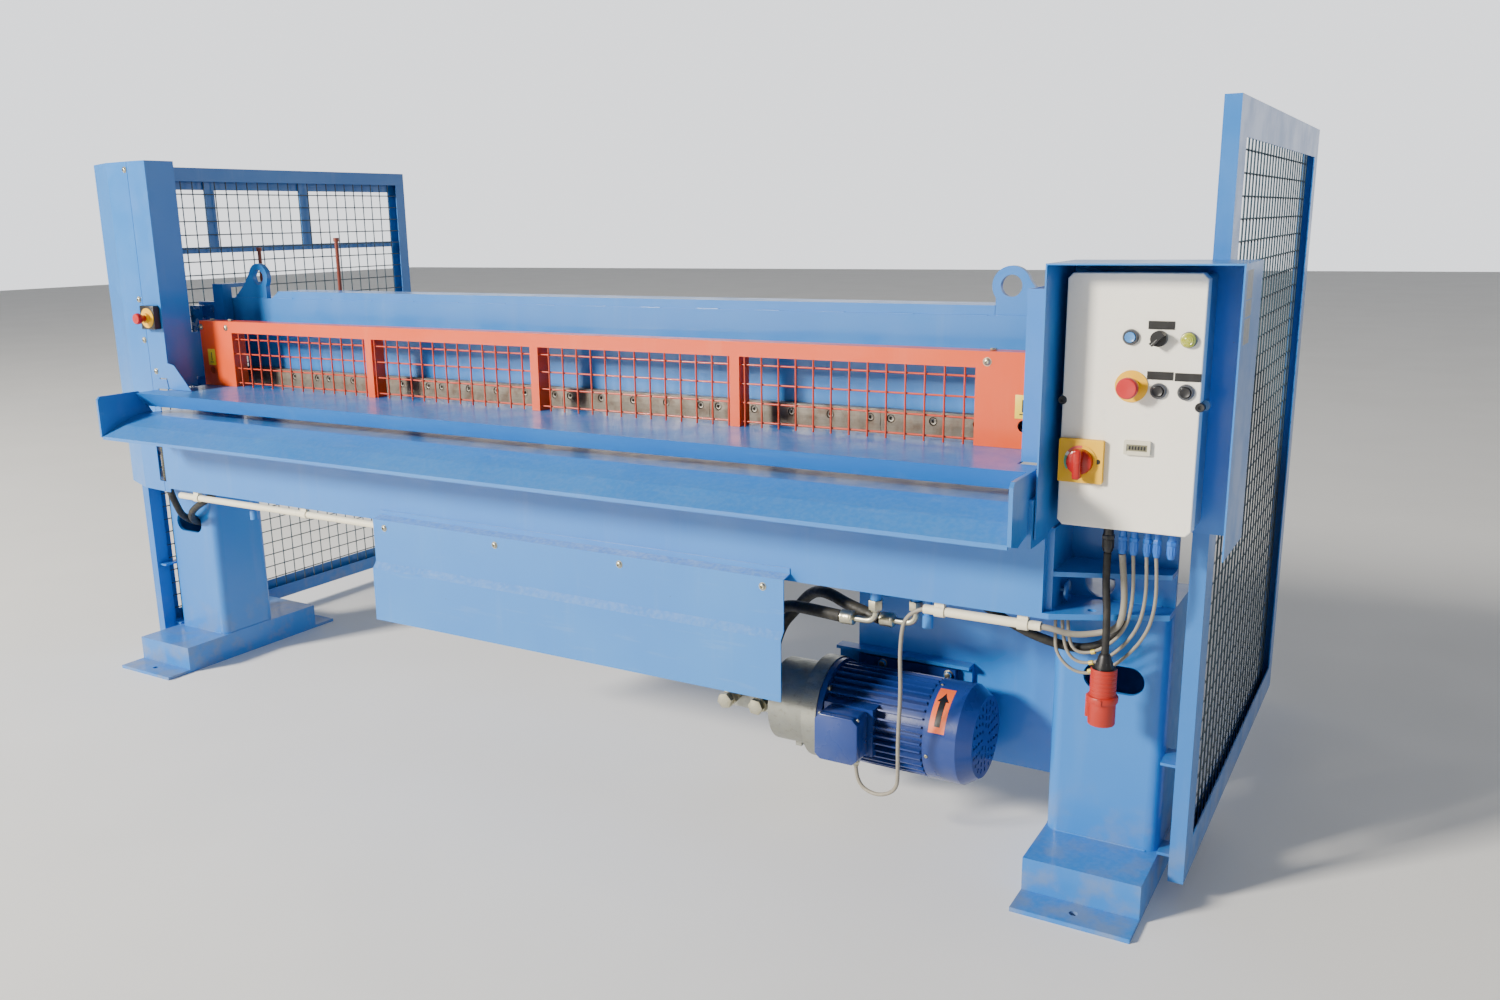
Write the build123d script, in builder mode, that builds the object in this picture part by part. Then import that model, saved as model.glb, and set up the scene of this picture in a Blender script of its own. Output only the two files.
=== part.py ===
"""Hydraulic mesh shear: CAD source, one STEP file per piece.

Units are millimetres, +Z is up, +X runs along the beams and +Y points to the
rear.  The origin lies on the floor, midway between the four anchor holes.
"""

import os
from math import acos, tan

from build123d import *

# Overall layout
FOOT_X = 1505.0
FOOT_WIDTH = 244.0
FOOT_HALF_DEPTH = 343.5
FOOT_HAT_HALF = 262.0
FOOT_HEIGHT = 84.0
ANCHOR_Y = 303.0
ANCHOR_DIA = 18.0
LEG_WIDTH = 240.0
LEG_FRONT = -110.0
LEG_REAR = 90.0
BEAM_HALF = 1398.0
BEAM_FRONT = -253.0
BEAM_BOTTOM = 615.0
BEAM_TOP = 800.0
SHEAR_HALF = 1302.0
STROKE = 50.0
# Guarding
MESH_PITCH = 45.0
WIRE = 4.5
GUARD_HALF = 1350.0
GUARD_OPENING_HALF = 1195.0
GUARD_FRONT = -112.0
GUARD_REAR = -64.0
GUARD_BOTTOM = 932.0
GUARD_TOP = 1134.0
SIDE_INNER = 1657.0
SIDE_OUTER = 1688.0
SIDE_FRONT = -150.0
SIDE_REAR = 1138.0
SIDE_BOTTOM = 50.0
SIDE_TOP = 1617.0
# Control station
PANEL_X = 1549.0
PANEL_Y = -270.0
PANEL_Z = 1062.0
PANEL_WIDTH = 250.0
PANEL_HEIGHT = 485.0
HOOD_LEFT = 1404.0
HOOD_RIGHT = 1745.0
HOOD_FRONT = -350.0
HOOD_REAR = -150.0
HOOD_BOTTOM = 802.0
HOOD_TOP = 1324.0
# Power pack
MOTOR_Y = -42.0
MOTOR_Z = 240.0
BELL_START = 706.0
BELL_FLANGE_X = 808.0
MOTOR_FLANGE_X = 846.0
COWL_START = 1112.0
HANG_Y = -222.0
GLAND_END = 760.6

os.makedirs("parts", exist_ok=True)


def save(builder: BuildPart, name: str) -> None:
    """Label one piece and write its STEP file."""
    builder.part.label = name
    export_step(builder.part, f"parts/{name}.step")


def across(x: float) -> Plane:
    """YZ plane at the given X, extruding towards +X."""
    return Plane(origin=(x, 0, 0), x_dir=(0, 1, 0), z_dir=(1, 0, 0))


def facing(y: float) -> Plane:
    """XZ plane at the given Y, extruding towards the front."""
    return Plane(origin=(0, y, 0), x_dir=(1, 0, 0), z_dir=(0, -1, 0))


def level(z: float) -> Plane:
    """XY plane at the given height, extruding upwards."""
    return Plane(origin=(0, 0, z))


def block(x0, x1, y0, y1, z0, z1, mode=Mode.ADD):
    """Box between two opposite corners."""
    with Locations(((x0 + x1) / 2, (y0 + y1) / 2, (z0 + z1) / 2)):
        Box(abs(x1 - x0), abs(y1 - y0), abs(z1 - z0), mode=mode)


def prism(plane: Plane, points, amount: float, mode=Mode.ADD):
    """Closed polygon extruded from a plane."""
    with BuildSketch(plane) as outline:
        with BuildLine():
            Polyline(*points, close=True)
        make_face()
    extrude(outline.sketch, amount=amount, mode=mode)


def mitred(points, distance: float) -> list:
    """Open line shifted sideways with mitred corners."""
    line = [Vector(*point) for point in points]
    runs = [(b - a).normalized() for a, b in zip(line, line[1:])]
    sides = [Vector(-run.Y, run.X) for run in runs]
    shifted = [line[0] + sides[0] * distance]
    for point, before, after in zip(line[1:-1], sides, sides[1:]):
        middle = (before + after).normalized()
        shifted.append(point + middle * (distance / middle.dot(before)))
    shifted.append(line[-1] + sides[-1] * distance)
    return [(point.X, point.Y) for point in shifted]


def sheet(plane: Plane, points, thickness: float, amount: float, mode=Mode.ADD):
    """Bent sheet: an open line given a thickness and extruded."""
    prism(plane, mitred(points, thickness / 2) + mitred(points, -thickness / 2)[::-1], amount, mode)


def rod(start, direction, radius: float, length: float, mode=Mode.ADD):
    """Cylinder from a start point along a direction."""
    with Locations(Plane(origin=start, z_dir=direction).location):
        Cylinder(radius, length, align=(Align.CENTER, Align.CENTER, Align.MIN), mode=mode)


def cone(start, direction, radius0: float, radius1: float, length: float, mode=Mode.ADD):
    """Truncated cone from a start point along a direction."""
    with Locations(Plane(origin=start, z_dir=direction).location):
        Cone(radius0, radius1, length, align=(Align.CENTER, Align.CENTER, Align.MIN), mode=mode)


def bend_radii(points) -> list:
    """Fillet radius for each inner point, from the shorter neighbouring run."""
    corners = [Vector(*point) for point in points]
    radii = []
    for before, corner, after in zip(corners, corners[1:], corners[2:]):
        run_in = corner - before
        run_out = after - corner
        turn = acos(max(-1.0, min(1.0, run_in.normalized().dot(run_out.normalized()))))
        radii.append(0.45 * min(run_in.length, run_out.length) / tan(turn / 2))
    return radii


def tube(points, radius: float):
    """Round cable or hose along straight runs and tangent arcs."""
    radii = bend_radii(points)
    with BuildLine() as path:
        FilletPolyline(*points, radius=radii)
    track = path.wires()[0]
    with BuildSketch(Plane(origin=track @ 0, z_dir=track % 0)) as section:
        Circle(radius)
    sweep(section.sketch, path=track)
    print(f"tube r={radius} length={track.length:.1f} least bend={min(radii):.1f}")


# --------------------------------------------------------------- stands

def build_stand(name: str, side: int) -> None:
    """Foot made of bent plate with a hollow-section leg welded on it."""
    x = side * FOOT_X
    hat = [(-FOOT_HALF_DEPTH, 0), (-FOOT_HALF_DEPTH, 10), (-FOOT_HAT_HALF, 10),
           (-FOOT_HAT_HALF, FOOT_HEIGHT), (FOOT_HAT_HALF, FOOT_HEIGHT), (FOOT_HAT_HALF, 10),
           (FOOT_HALF_DEPTH, 10), (FOOT_HALF_DEPTH, 0), (FOOT_HAT_HALF - 10, 0),
           (FOOT_HAT_HALF - 10, FOOT_HEIGHT - 10), (10 - FOOT_HAT_HALF, FOOT_HEIGHT - 10),
           (10 - FOOT_HAT_HALF, 0)]
    mid_y = (LEG_FRONT + LEG_REAR) / 2
    depth = LEG_REAR - LEG_FRONT
    height = BEAM_BOTTOM - FOOT_HEIGHT
    with BuildPart() as stand:
        prism(across(x - FOOT_WIDTH / 2), hat, FOOT_WIDTH)
        for edge in (-1, 1):
            cheek = x + edge * (FOOT_WIDTH / 2 - 4)
            block(cheek - 4, cheek + 4, 10 - FOOT_HAT_HALF, FOOT_HAT_HALF - 10, 0, FOOT_HEIGHT - 10)
        for y in (-ANCHOR_Y, ANCHOR_Y):
            rod((x, y, -1), (0, 0, 1), ANCHOR_DIA / 2, 12, Mode.SUBTRACT)
        with BuildSketch(level(FOOT_HEIGHT)) as wall:
            with Locations((x, mid_y)):
                RectangleRounded(LEG_WIDTH, depth, 28)
                RectangleRounded(LEG_WIDTH - 20, depth - 20, 18, mode=Mode.SUBTRACT)
        extrude(wall.sketch, amount=height)
        with BuildSketch(facing(LEG_FRONT + 20)) as slot:
            with Locations((side * 1515.0, 458)):
                SlotOverall(126, 62)
        extrude(slot.sketch, amount=40, mode=Mode.SUBTRACT)
    save(stand, name)


# ---------------------------------------------------------- fixed beam

def build_lower_beam() -> None:
    """Welded box beam with blade bed, rear ears for the guides and two blind studs."""
    with BuildPart() as beam:
        block(-BEAM_HALF, BEAM_HALF, BEAM_FRONT, LEG_REAR, BEAM_BOTTOM, BEAM_TOP)
        block(-BEAM_HALF + 14, BEAM_HALF - 14, BEAM_FRONT + 12, LEG_REAR - 12,
              BEAM_BOTTOM + 12, BEAM_TOP - 12, Mode.SUBTRACT)
        block(-SHEAR_HALF, SHEAR_HALF, -75, -25, BEAM_TOP, 858)
        for side in (-1, 1):
            block(side * 1340, side * BEAM_HALF, LEG_REAR, 160, BEAM_TOP - 12, BEAM_TOP)
        for x in (-1090, 1128):
            rod((x, -180, BEAM_BOTTOM), (0, 0, -1), 9, 76)
            rod((x, -180, 560), (0, 0, -1), 12, 28)
    save(beam, "lower_beam")


def build_end_brackets() -> None:
    """Open cylinder housings at the two beam ends."""
    with BuildPart() as brackets:
        for side, front, shelf in ((-1, -211, -206), (1, -253, -232)):
            inner = side * BEAM_HALF
            wall = side * 1412.0
            outer = side * 1626.0
            block(inner, wall, -233, LEG_REAR, 627, BEAM_TOP)
            floor = [(inner, front), (wall, front), (outer, -152), (outer, LEG_REAR), (inner, LEG_REAR)]
            prism(level(BEAM_BOTTOM), floor, 12)
            prism(level(700), [(wall, shelf), (outer, -152), (outer, -100), (wall, -100)], 10)
            block(wall, outer, -100, -90, 627, BEAM_TOP)
            rod((side * 1474, -80, 661), (0, -1, 0), 31, 30, Mode.SUBTRACT)
            rod((side * 1482, -190, 610), (0, 0, 1), 9, 20, Mode.SUBTRACT)
    save(brackets, "end_brackets")


def build_stop_screws() -> None:
    """Domed stop screws standing on the inner walls of the end brackets."""
    with BuildPart() as screws:
        for side in (-1, 1):
            rod((side * 1412, -168, 656), (side, 0, 0), 5, 8)
            cone((side * 1419, -168, 656), (side, 0, 0), 13, 24, 9)
            rod((side * 1428, -168, 656), (side, 0, 0), 24.5, 4)
    save(screws, "stop_screws")


def blade_edges() -> list:
    """X limits of the blade segments, four long ones between two short ones."""
    joints = [-SHEAR_HALF, -931.0, -465.5, 0.0, 465.5, 931.0, SHEAR_HALF]
    return list(zip(joints, joints[1:]))


def build_lower_blade() -> None:
    """Fixed blade segments on the rear of the bed."""
    with BuildPart() as blade:
        for left, right in blade_edges():
            block(left + 0.5, right - 0.5, -25, 0, BEAM_TOP, 865)
    save(blade, "lower_blade")


def build_guide_columns() -> None:
    """Front and rear guide bars at both ends of the moving beam."""
    with BuildPart() as columns:
        for side in (-1, 1):
            block(side * 1346, side * 1394, -12, 22, BEAM_TOP, 1230)
            block(side * 1346, side * 1394, 128, 158, BEAM_TOP, 1230)
            block(side * 1346, side * 1394, -12, 158, 1230, 1242)
    save(columns, "guide_columns")


# ------------------------------------------------------- moving beam

def blade_bolt_positions() -> list:
    """X positions of the bolts, five to a long segment."""
    marks = []
    for left, right in blade_edges():
        centre = (left + right) / 2
        count = 5 if right - left > 400 else 4
        start = centre - (count - 1) * 103.5 / 2
        if count == 4:
            start = left + 25.5 if centre > 0 else right - 25.5 - 3 * 103.5
        marks += [start + i * 103.5 for i in range(count)]
    return marks


def build_knife_beam() -> None:
    """Moving box beam with its cap, lifting eyes and end lugs."""
    with BuildPart() as beam:
        block(-1396, 1396, 25, 125, 1010, 1197)
        block(-1335, 1335, 37, 113, 1022, 1185, Mode.SUBTRACT)
        block(-SHEAR_HALF, SHEAR_HALF, 25, 60, 897, 1010)
        block(-SHEAR_HALF, SHEAR_HALF, 60, 110, 985, 1010)
        for side in (-1, 1):
            block(side * 1396, side * 1548, 45, 75, 1080, 1180)
        prism(facing(125), [(-1164, 1197), (-1131, 1219), (1186, 1219), (1186, 1197)], 96)
        for side in (-1, 1):
            eye = [(side * 1187, 1197), (side * 1340, 1197), (side * 1290, 1239),
                   (side * 1255, 1284), (side * 1221, 1262), (side * 1187, 1262)]
            prism(facing(45), eye, 16)
            rod((side * 1221, 45, 1262), (0, -1, 0), 43, 16)
        for side in (-1, 1):
            rod((side * 1221, 46, 1262), (0, -1, 0), 24, 20, Mode.SUBTRACT)
    save(beam, "knife_beam")


def build_upper_blade() -> None:
    """Moving blade segments with counterbored bolt holes."""
    with BuildPart() as blade:
        for left, right in blade_edges():
            block(left + 0.5, right - 0.5, 0.6, 25, 895, 979)
        for x in blade_bolt_positions():
            rod((x, 12, 958), (0, -1, 0), 10, 14, Mode.SUBTRACT)
            rod((x, 26, 958), (0, -1, 0), 5.5, 16, Mode.SUBTRACT)
    save(blade, "upper_blade")


def build_blade_bolts() -> None:
    """Socket head screws sunk in the moving blade."""
    with BuildPart() as bolts:
        for x in blade_bolt_positions():
            rod((x, 12, 958), (0, -1, 0), 8.5, 10)
            rod((x, 25, 958), (0, -1, 0), 5, 14)
            rod((x, 6, 958), (0, -1, 0), 4, 6, Mode.SUBTRACT)
    save(bolts, "blade_bolts")


def build_cylinders() -> None:
    """Hydraulic cylinder barrels standing in the end brackets."""
    with BuildPart() as barrels:
        for side in (-1, 1):
            x = side * FOOT_X
            rod((x, 30, 627), (0, 0, 1), 30, 18)
            rod((x, 30, 645), (0, 0, 1), 52, 285)
            rod((x, 30, 930), (0, 0, 1), 46, 22)
            rod((x, 30, 700), (0, 0, 1), 40, 260, Mode.SUBTRACT)
            rod((x, 30, 944), (0, 0, 1), 27, 20, Mode.SUBTRACT)
            rod((x, -15, 900), (0, -1, 0), 11, 25)
    save(barrels, "cylinders")


def build_piston_rods() -> None:
    """Piston rods bolted to the lugs of the moving beam."""
    with BuildPart() as rods:
        for side in (-1, 1):
            x = side * FOOT_X
            rod((x, 30, 790), (0, 0, 1), 39.5, 30)
            rod((x, 30, 820), (0, 0, 1), 25, 260)
            block(x - 32, x + 32, 0, 45, 1080, 1170)
    save(rods, "piston_rods")


# ---------------------------------------------------------- infeed

def build_funnel_upper() -> None:
    """Upper infeed sheet with its folded front."""
    with BuildPart() as upper:
        sheet(across(-1386), [(-58, 930), (-330, 928), (-300, 888)], 4, 2772)
        for side in (-1, 1):
            block(side * 1338, side * 1390, -262, 0, 920, 940, Mode.SUBTRACT)
    save(upper, "funnel_upper")


def build_funnel_lower() -> None:
    """Lower infeed shelf with end plates and the brackets to the beam."""
    end = [(-459, 812), (-459, 925), (-450, 934), (-322, 934), (-280, 862), (-325, 822), (-420, 801)]
    with BuildPart() as lower:
        sheet(across(-1386), [(-76, 856), (-325, 864), (-398, 841), (-455, 813), (-455, 805)], 4, 2772)
        for side in (-1, 1):
            plate = side * 1390
            prism(across(plate - 4), end, 8)
            block(side * 1394, side * 1402, -362, -253, 786, 800)
            block(side * 1394, side * 1402, -362, -300, 786, 882)
        for x in (-1000, 0, 1000):
            prism(across(x - 5), [(-253, 790), (-253, 750), (-395, 836), (-330, 859), (-253, 856)], 10)
            block(x - 5, x + 5, -255, -245, BEAM_TOP, 856)
    save(lower, "funnel_lower")


# ---------------------------------------------------------- orange guard

def build_guard_frame() -> None:
    """Blade guard: end plates, top rail and three posts of folded sheet."""
    front = GUARD_FRONT
    with BuildPart() as guard:
        block(-GUARD_OPENING_HALF, GUARD_OPENING_HALF, front, GUARD_REAR, 1099, GUARD_TOP)
        block(-GUARD_OPENING_HALF, GUARD_OPENING_HALF, front + 3, GUARD_REAR, 1102, 1131, Mode.SUBTRACT)
        for side in (-1, 1):
            inner = side * GUARD_OPENING_HALF
            outer = side * (GUARD_HALF - 6)
            block(inner, outer, front, GUARD_REAR, GUARD_BOTTOM, GUARD_TOP)
            block(inner + side * 3, outer - side * 3, front + 3, GUARD_REAR, GUARD_BOTTOM,
                  GUARD_TOP - 3, Mode.SUBTRACT)
            rod((side * 1302, front + 5, 980), (0, -1, 0), 12.5, 10, Mode.SUBTRACT)
        for x in (-605, 0, 605):
            block(x - 13, x + 13, front, GUARD_REAR, GUARD_BOTTOM, 1099)
            block(x - 10, x + 10, front + 3, GUARD_REAR, GUARD_BOTTOM, 1096, Mode.SUBTRACT)
        for z in (1079, 1034, 989, 944):
            rod((-1195, -101.5, z), (1, 0, 0), WIRE / 2 + 0.2, 2390, Mode.SUBTRACT)
    save(guard, "guard_frame")


def build_guard_mesh() -> None:
    """Welded wires of the blade guard."""
    count = 26
    with BuildPart() as mesh:
        for i in range(-count, count + 1):
            if i:
                rod((i * MESH_PITCH, -106, GUARD_BOTTOM), (0, 0, 1), WIRE / 2, 167)
        for z in (1079, 1034, 989, 944):
            rod((-1195, -101.5, z), (1, 0, 0), WIRE / 2, 2390)
    save(mesh, "guard_mesh")


# ---------------------------------------------------------- housings

def build_housing_front() -> None:
    """Front cover of the left column, folded once."""
    with BuildPart() as cover:
        sheet(level(600), [(-1689, -150.3), (-1689, -176), (-1545, -230), (-1429, -241)], 3, 1017)
        block(-1451, -1420, -260, -225, 633, 800, Mode.SUBTRACT)
    save(cover, "housing_front")


def build_housing_sides() -> None:
    """Side covers next to the blade guard, the left one with a gusset."""
    slit = [(-1388, 962), (-1355, 962), (-1344, 918), (-1341, 919), (-1351, 966), (-1388, 966)]
    with BuildPart() as sides:
        sheet(level(600), [(-1426, -242), (-1342, -242), (-1342, -145)], 3, 1017)
        block(-1430, -1416, -260, -225, 633, 800, Mode.SUBTRACT)
        block(-1430, -1335, -240, -140, 599, GUARD_BOTTOM + 2, Mode.SUBTRACT)
        block(-1400, -1335, -250, -235, 599, GUARD_BOTTOM, Mode.SUBTRACT)
        prism(facing(-240.5), [(-1342, 1013), (-1311, 1007), (-1240, 932), (-1342, 932)], 3)
        prism(facing(-238), slit, 8, Mode.SUBTRACT)
        sheet(level(GUARD_BOTTOM), [(1388, -242), (1342, -242), (1342, -136)], 3, 340)
        for side in (-1, 1):
            block(side * 1343.5, side * 1350, -145 if side < 0 else -136, -125, 960, 1100)
            block(side * 1343.5, side * 1350, -160, -125, 960, 1100)
            block(side * 1344, side * 1350, -125, -12, 960, 1100)
    save(sides, "housing_sides")


# ---------------------------------------------------------- side guards

def guard_ring(side: int, x0: float, x1: float, front: float, top: float, rear: float, base: float):
    """Rectangular band lying in the plane of a side guard."""
    block(side * x0, side * x1, SIDE_FRONT, SIDE_REAR, SIDE_BOTTOM, SIDE_TOP)
    block(side * x0, side * x1, SIDE_FRONT + front, SIDE_REAR - rear, SIDE_BOTTOM + base,
          SIDE_TOP - top, Mode.SUBTRACT)


def build_side_guard(name: str, side: int) -> None:
    """Frame of a side guard, a folded channel around the wire mesh."""
    with BuildPart() as frame:
        guard_ring(side, SIDE_INNER, SIDE_INNER + 3, 45, 45, 45, 45)
        with BuildPart(mode=Mode.PRIVATE) as outer:
            guard_ring(side, SIDE_OUTER - 3, SIDE_OUTER, 80, 72, 60, 72)
        add(outer.part)
        with BuildPart(mode=Mode.PRIVATE) as rim:
            guard_ring(side, SIDE_INNER, SIDE_OUTER, 3, 3, 3, 3)
        add(rim.part)
        for y0, y1, z in ((SIDE_FRONT + 40, SIDE_FRONT + 100, FOOT_HEIGHT),
                          (SIDE_FRONT + 10, SIDE_FRONT + 92, 300)):
            block(side * (FOOT_X + LEG_WIDTH / 2), side * SIDE_INNER, y0, y1, z, z + 6)
        if side < 0:
            block(-1685, -1677, SIDE_FRONT + 3, SIDE_REAR - 3, 1333, 1354)
            for y in (212, 620):
                block(-1685, -1677, y, y + 38, 1354, SIDE_TOP - 3)
    save(frame, name)


def build_side_meshes() -> None:
    """Welded wires of both side guards."""
    with BuildPart() as mesh:
        for side in (-1, 1):
            x = side * 1666.1
            for i in range(28):
                rod((x, SIDE_FRONT + 36 + i * MESH_PITCH, SIDE_BOTTOM + 10), (0, 0, 1), 2, 1547)
            for i in range(34):
                rod((x - side * 4, SIDE_FRONT + 10, SIDE_BOTTOM + 40 + i * MESH_PITCH), (0, 1, 0), 2, 1268)
    save(mesh, "side_meshes")


# ---------------------------------------------------------- power pack

def build_lower_cover() -> None:
    """Creased front cover of the power pack."""
    line = [(-254.5, 645), (-254.5, 631), (-285, 625), (-285, 505), (-299, 487), (-300, 340)]
    with BuildPart() as cover:
        sheet(across(-455), line, 3, 1281)
    save(cover, "lower_cover")


def build_back_panel() -> None:
    """Rear wall of the power pack between tank and right leg."""
    with BuildPart() as panel:
        block(MOTOR_FLANGE_X, 1385, 82, 88, 127, BEAM_BOTTOM)
    save(panel, "back_panel")


def build_oil_tank() -> None:
    """Oil tank hanging under the beam behind the front cover."""
    with BuildPart() as tank:
        block(-420, 540, -230, 70, 352, 604)
        block(-413, 533, -223, 63, 359, 597, Mode.SUBTRACT)
        for x in (-380, 470):
            block(x, x + 40, -200, 40, 604, BEAM_BOTTOM)
        rod((300, -100, 604), (0, 0, 1), 30, 10)
    save(tank, "oil_tank")


def build_bellhousing() -> None:
    """Pump, pump body and cast bellhousing in front of the motor flange."""
    y, z = MOTOR_Y, MOTOR_Z
    with BuildPart() as bell:
        rod((BELL_FLANGE_X, y, z), (1, 0, 0), 126, MOTOR_FLANGE_X - BELL_FLANGE_X)
        rod((BELL_START, y, z), (1, 0, 0), 103, BELL_FLANGE_X - BELL_START)
        rod((BELL_START + 10, y, z), (1, 0, 0), 84, MOTOR_FLANGE_X - BELL_START, Mode.SUBTRACT)
        block(560, BELL_START, y - 38, y + 57, z - 35, z + 60)
        rod((545, y, z), (1, 0, 0), 30, 15)
        block(740, 756, y - 20, y + 20, z - 116, z - 98)
    save(bell, "bellhousing")


def build_motor_body() -> None:
    """Finned stator housing with its flange and side feet."""
    y, z = MOTOR_Y, MOTOR_Z
    with BuildPart() as motor:
        rod((MOTOR_FLANGE_X, y, z), (1, 0, 0), 123, 14)
        rod((MOTOR_FLANGE_X + 14, y, z), (1, 0, 0), 100, 1130 - MOTOR_FLANGE_X - 14)
        with BuildSketch(across(MOTOR_FLANGE_X + 18)) as fins:
            with Locations((y, z)):
                with PolarLocations(0, 36):
                    with Locations((104, 0)):
                        Rectangle(26, 4)
        extrude(fins.sketch, amount=COWL_START - MOTOR_FLANGE_X - 24)
        rod((1120, y, z), (1, 0, 0), 115, 10)
        block(870, 1100, 64, 70, z - 112, z + 112)
        for z0 in (z - 112, z + 84):
            block(860, 1112, 50, 70, z0, z0 + 28)
        block(868, 992, -162, -120, z - 54, z + 62)
        rod((MOTOR_FLANGE_X + 10, y, z), (1, 0, 0), 84, 1120 - MOTOR_FLANGE_X - 10, Mode.SUBTRACT)
        rod((MOTOR_FLANGE_X - 1, y, z), (1, 0, 0), 14.3, 330, Mode.SUBTRACT)
    save(motor, "motor_body")


def build_motor_mount() -> None:
    """Channel and bolts holding the motor feet on the rear panel."""
    y, z = MOTOR_Y, MOTOR_Z
    with BuildPart() as mount:
        for z0 in (z - 118, z + 72):
            block(800, 1147, 70, 82, z0, z0 + 46)
        block(800, 1147, 46, 82, z + 118, z + 126)
        for x in (925, 1095):
            for dz in (-98, 98):
                rod((x, 50, z + dz), (0, -1, 0), 9, 9)
    save(mount, "motor_mount")


def build_motor_cowl() -> None:
    """Fan cowl with a slotted end grille."""
    y, z = MOTOR_Y, MOTOR_Z
    with BuildPart() as cowl:
        rod((COWL_START, y, z), (1, 0, 0), 118, 1190 - COWL_START)
        cone((1190, y, z), (1, 0, 0), 118, 96, 32)
        rod((1080, y, z), (1, 0, 0), 115, 110, Mode.SUBTRACT)
        cone((1189, y, z), (1, 0, 0), 115, 94, 30, Mode.SUBTRACT)
        with BuildSketch(across(1215)) as vents:
            for ring, count in ((28, 8), (46, 12), (64, 16), (80, 20)):
                with Locations((y, z)):
                    with PolarLocations(ring, count):
                        Rectangle(11, 6)
        extrude(vents.sketch, amount=12, mode=Mode.SUBTRACT)
    save(cowl, "motor_cowl")


def build_motor_rotor() -> None:
    """Motor shaft with the cooling fan and the pump coupling."""
    y, z = MOTOR_Y, MOTOR_Z
    with BuildPart() as rotor:
        rod((735, y, z), (1, 0, 0), 14, 450)
        rod((716, y, z), (1, 0, 0), 40, 60)
        rod((1140, y, z), (1, 0, 0), 30, 45)
        with BuildSketch(across(1142)) as blades:
            with Locations((y, z)):
                with PolarLocations(0, 8):
                    with Locations((62, 0)):
                        Rectangle(70, 3)
        extrude(blades.sketch, amount=38)
        rod((1140, y, z), (1, 0, 0), 97, 3)
    save(rotor, "motor_rotor")


def build_terminal_box() -> None:
    """Motor terminal box facing the front, with the lead gland below."""
    with BuildPart() as box:
        block(876, 984, -232, -162, 188, 300)
        fillet(box.edges().filter_by(Axis.Y), 10)
        rod((966, -195, 189), (0, 0, -1), 9, 10)
        rod((966, -195, 180), (0, 0, -1), 7.5, 6)
    save(box, "terminal_box")


def build_hydraulic_fittings() -> None:
    """Hose unions below the beam and pump fittings below the cover."""
    with BuildPart() as fittings:
        for x, y, z in ((1010, -195, 531), (1092, -160, 528)):
            rod((x, y, BEAM_BOTTOM), (0, 0, -1), 12, 34)
            rod((x, y, 582), (0, 0, -1), 17, 25)
            rod((x, y, 558), (0, 0, -1), 8, 558 - z)
            rod((x + 8, y, z), (-1, 0, 0), 8, 60)
            rod((x - 50, y, z), (-1, 0, 0), 17, 34)
        for x in (580, 668):
            rod((x, MOTOR_Y - 38, MOTOR_Z - 1), (0, -1, 0), 16, 20)
            rod((x, MOTOR_Y - 57, MOTOR_Z - 1), (0, -1, 0), 22, 44)
    save(fittings, "hydraulic_fittings")


def build_hydraulic_hoses() -> None:
    """Fixed hoses between pump, cylinders and the left stand."""
    with BuildPart() as hoses:
        tube([(924.6, -195, 531), (850, -190, 534), (760, -150, 522), (690, -110, 470), (640, -60, 400),
              (616, -42, 304.5)], 14)
        tube([(1004.8, -160, 528), (930, -150, 541), (850, -108, 554), (780, -50, 530), (720, -10, 470),
              (660, -8, 400), (642, -5, 303)], 14)
        tube([(-1432, -227.5, 850), (-1432, -227.5, 770), (-1433, -227, 690), (-1438, -225, 612),
              (-1460, -190, 545), (-1492, -145, 485), (-1514, -85, 456)], 11)
        tube([(-1250, -190, 605), (-1300, -190, 573), (-1362, -184, 545), (-1420, -168, 512),
              (-1460.6, -130, 472), (-1474.6, -85, 457)], 11)
        tube([(1255, -190, 605.6), (1318, -186, 570), (1390, -171, 540), (1462, -156, 528),
              (1518, -148, 555), (1540, -148, 611)], 10)
    save(hoses, "hydraulic_hoses")


# ---------------------------------------------------------- control station

def build_control_hood() -> None:
    """Rain hood around the control enclosure, open at front and bottom."""
    with BuildPart() as hood:
        block(HOOD_LEFT, HOOD_RIGHT, HOOD_FRONT, HOOD_REAR, HOOD_BOTTOM, HOOD_TOP)
        block(HOOD_LEFT + 3, HOOD_RIGHT - 3, HOOD_FRONT, HOOD_REAR - 3, HOOD_BOTTOM, HOOD_TOP - 3,
              Mode.SUBTRACT)
        block(1388, HOOD_LEFT, -242, HOOD_REAR, 960, 1240)
    save(hood, "control_hood")


def build_enclosure_box() -> None:
    """Body of the control enclosure."""
    left, right = PANEL_X - PANEL_WIDTH / 2, PANEL_X + PANEL_WIDTH / 2
    bottom, top = PANEL_Z - PANEL_HEIGHT / 2, PANEL_Z + PANEL_HEIGHT / 2
    with BuildPart() as box:
        block(left + 4, right - 4, PANEL_Y + 30, HOOD_REAR - 3, bottom + 4, top - 4)
        fillet(box.edges().filter_by(Axis.Y), 6)
        block(left + 8, right - 8, PANEL_Y + 29, HOOD_REAR - 8, bottom + 8, top - 8, Mode.SUBTRACT)
        for x in (left - 2, right + 2):
            rod((x, PANEL_Y + 30, PANEL_Z + 2), (0, 1, 0), 10, 14)
            block(min(x, PANEL_X), max(x, PANEL_X), PANEL_Y + 30, PANEL_Y + 42, PANEL_Z - 5, PANEL_Z + 9)
        block(left + 8, right - 8, PANEL_Y + 29, HOOD_REAR - 8, bottom + 8, top - 8, Mode.SUBTRACT)
    save(box, "enclosure_box")


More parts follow.
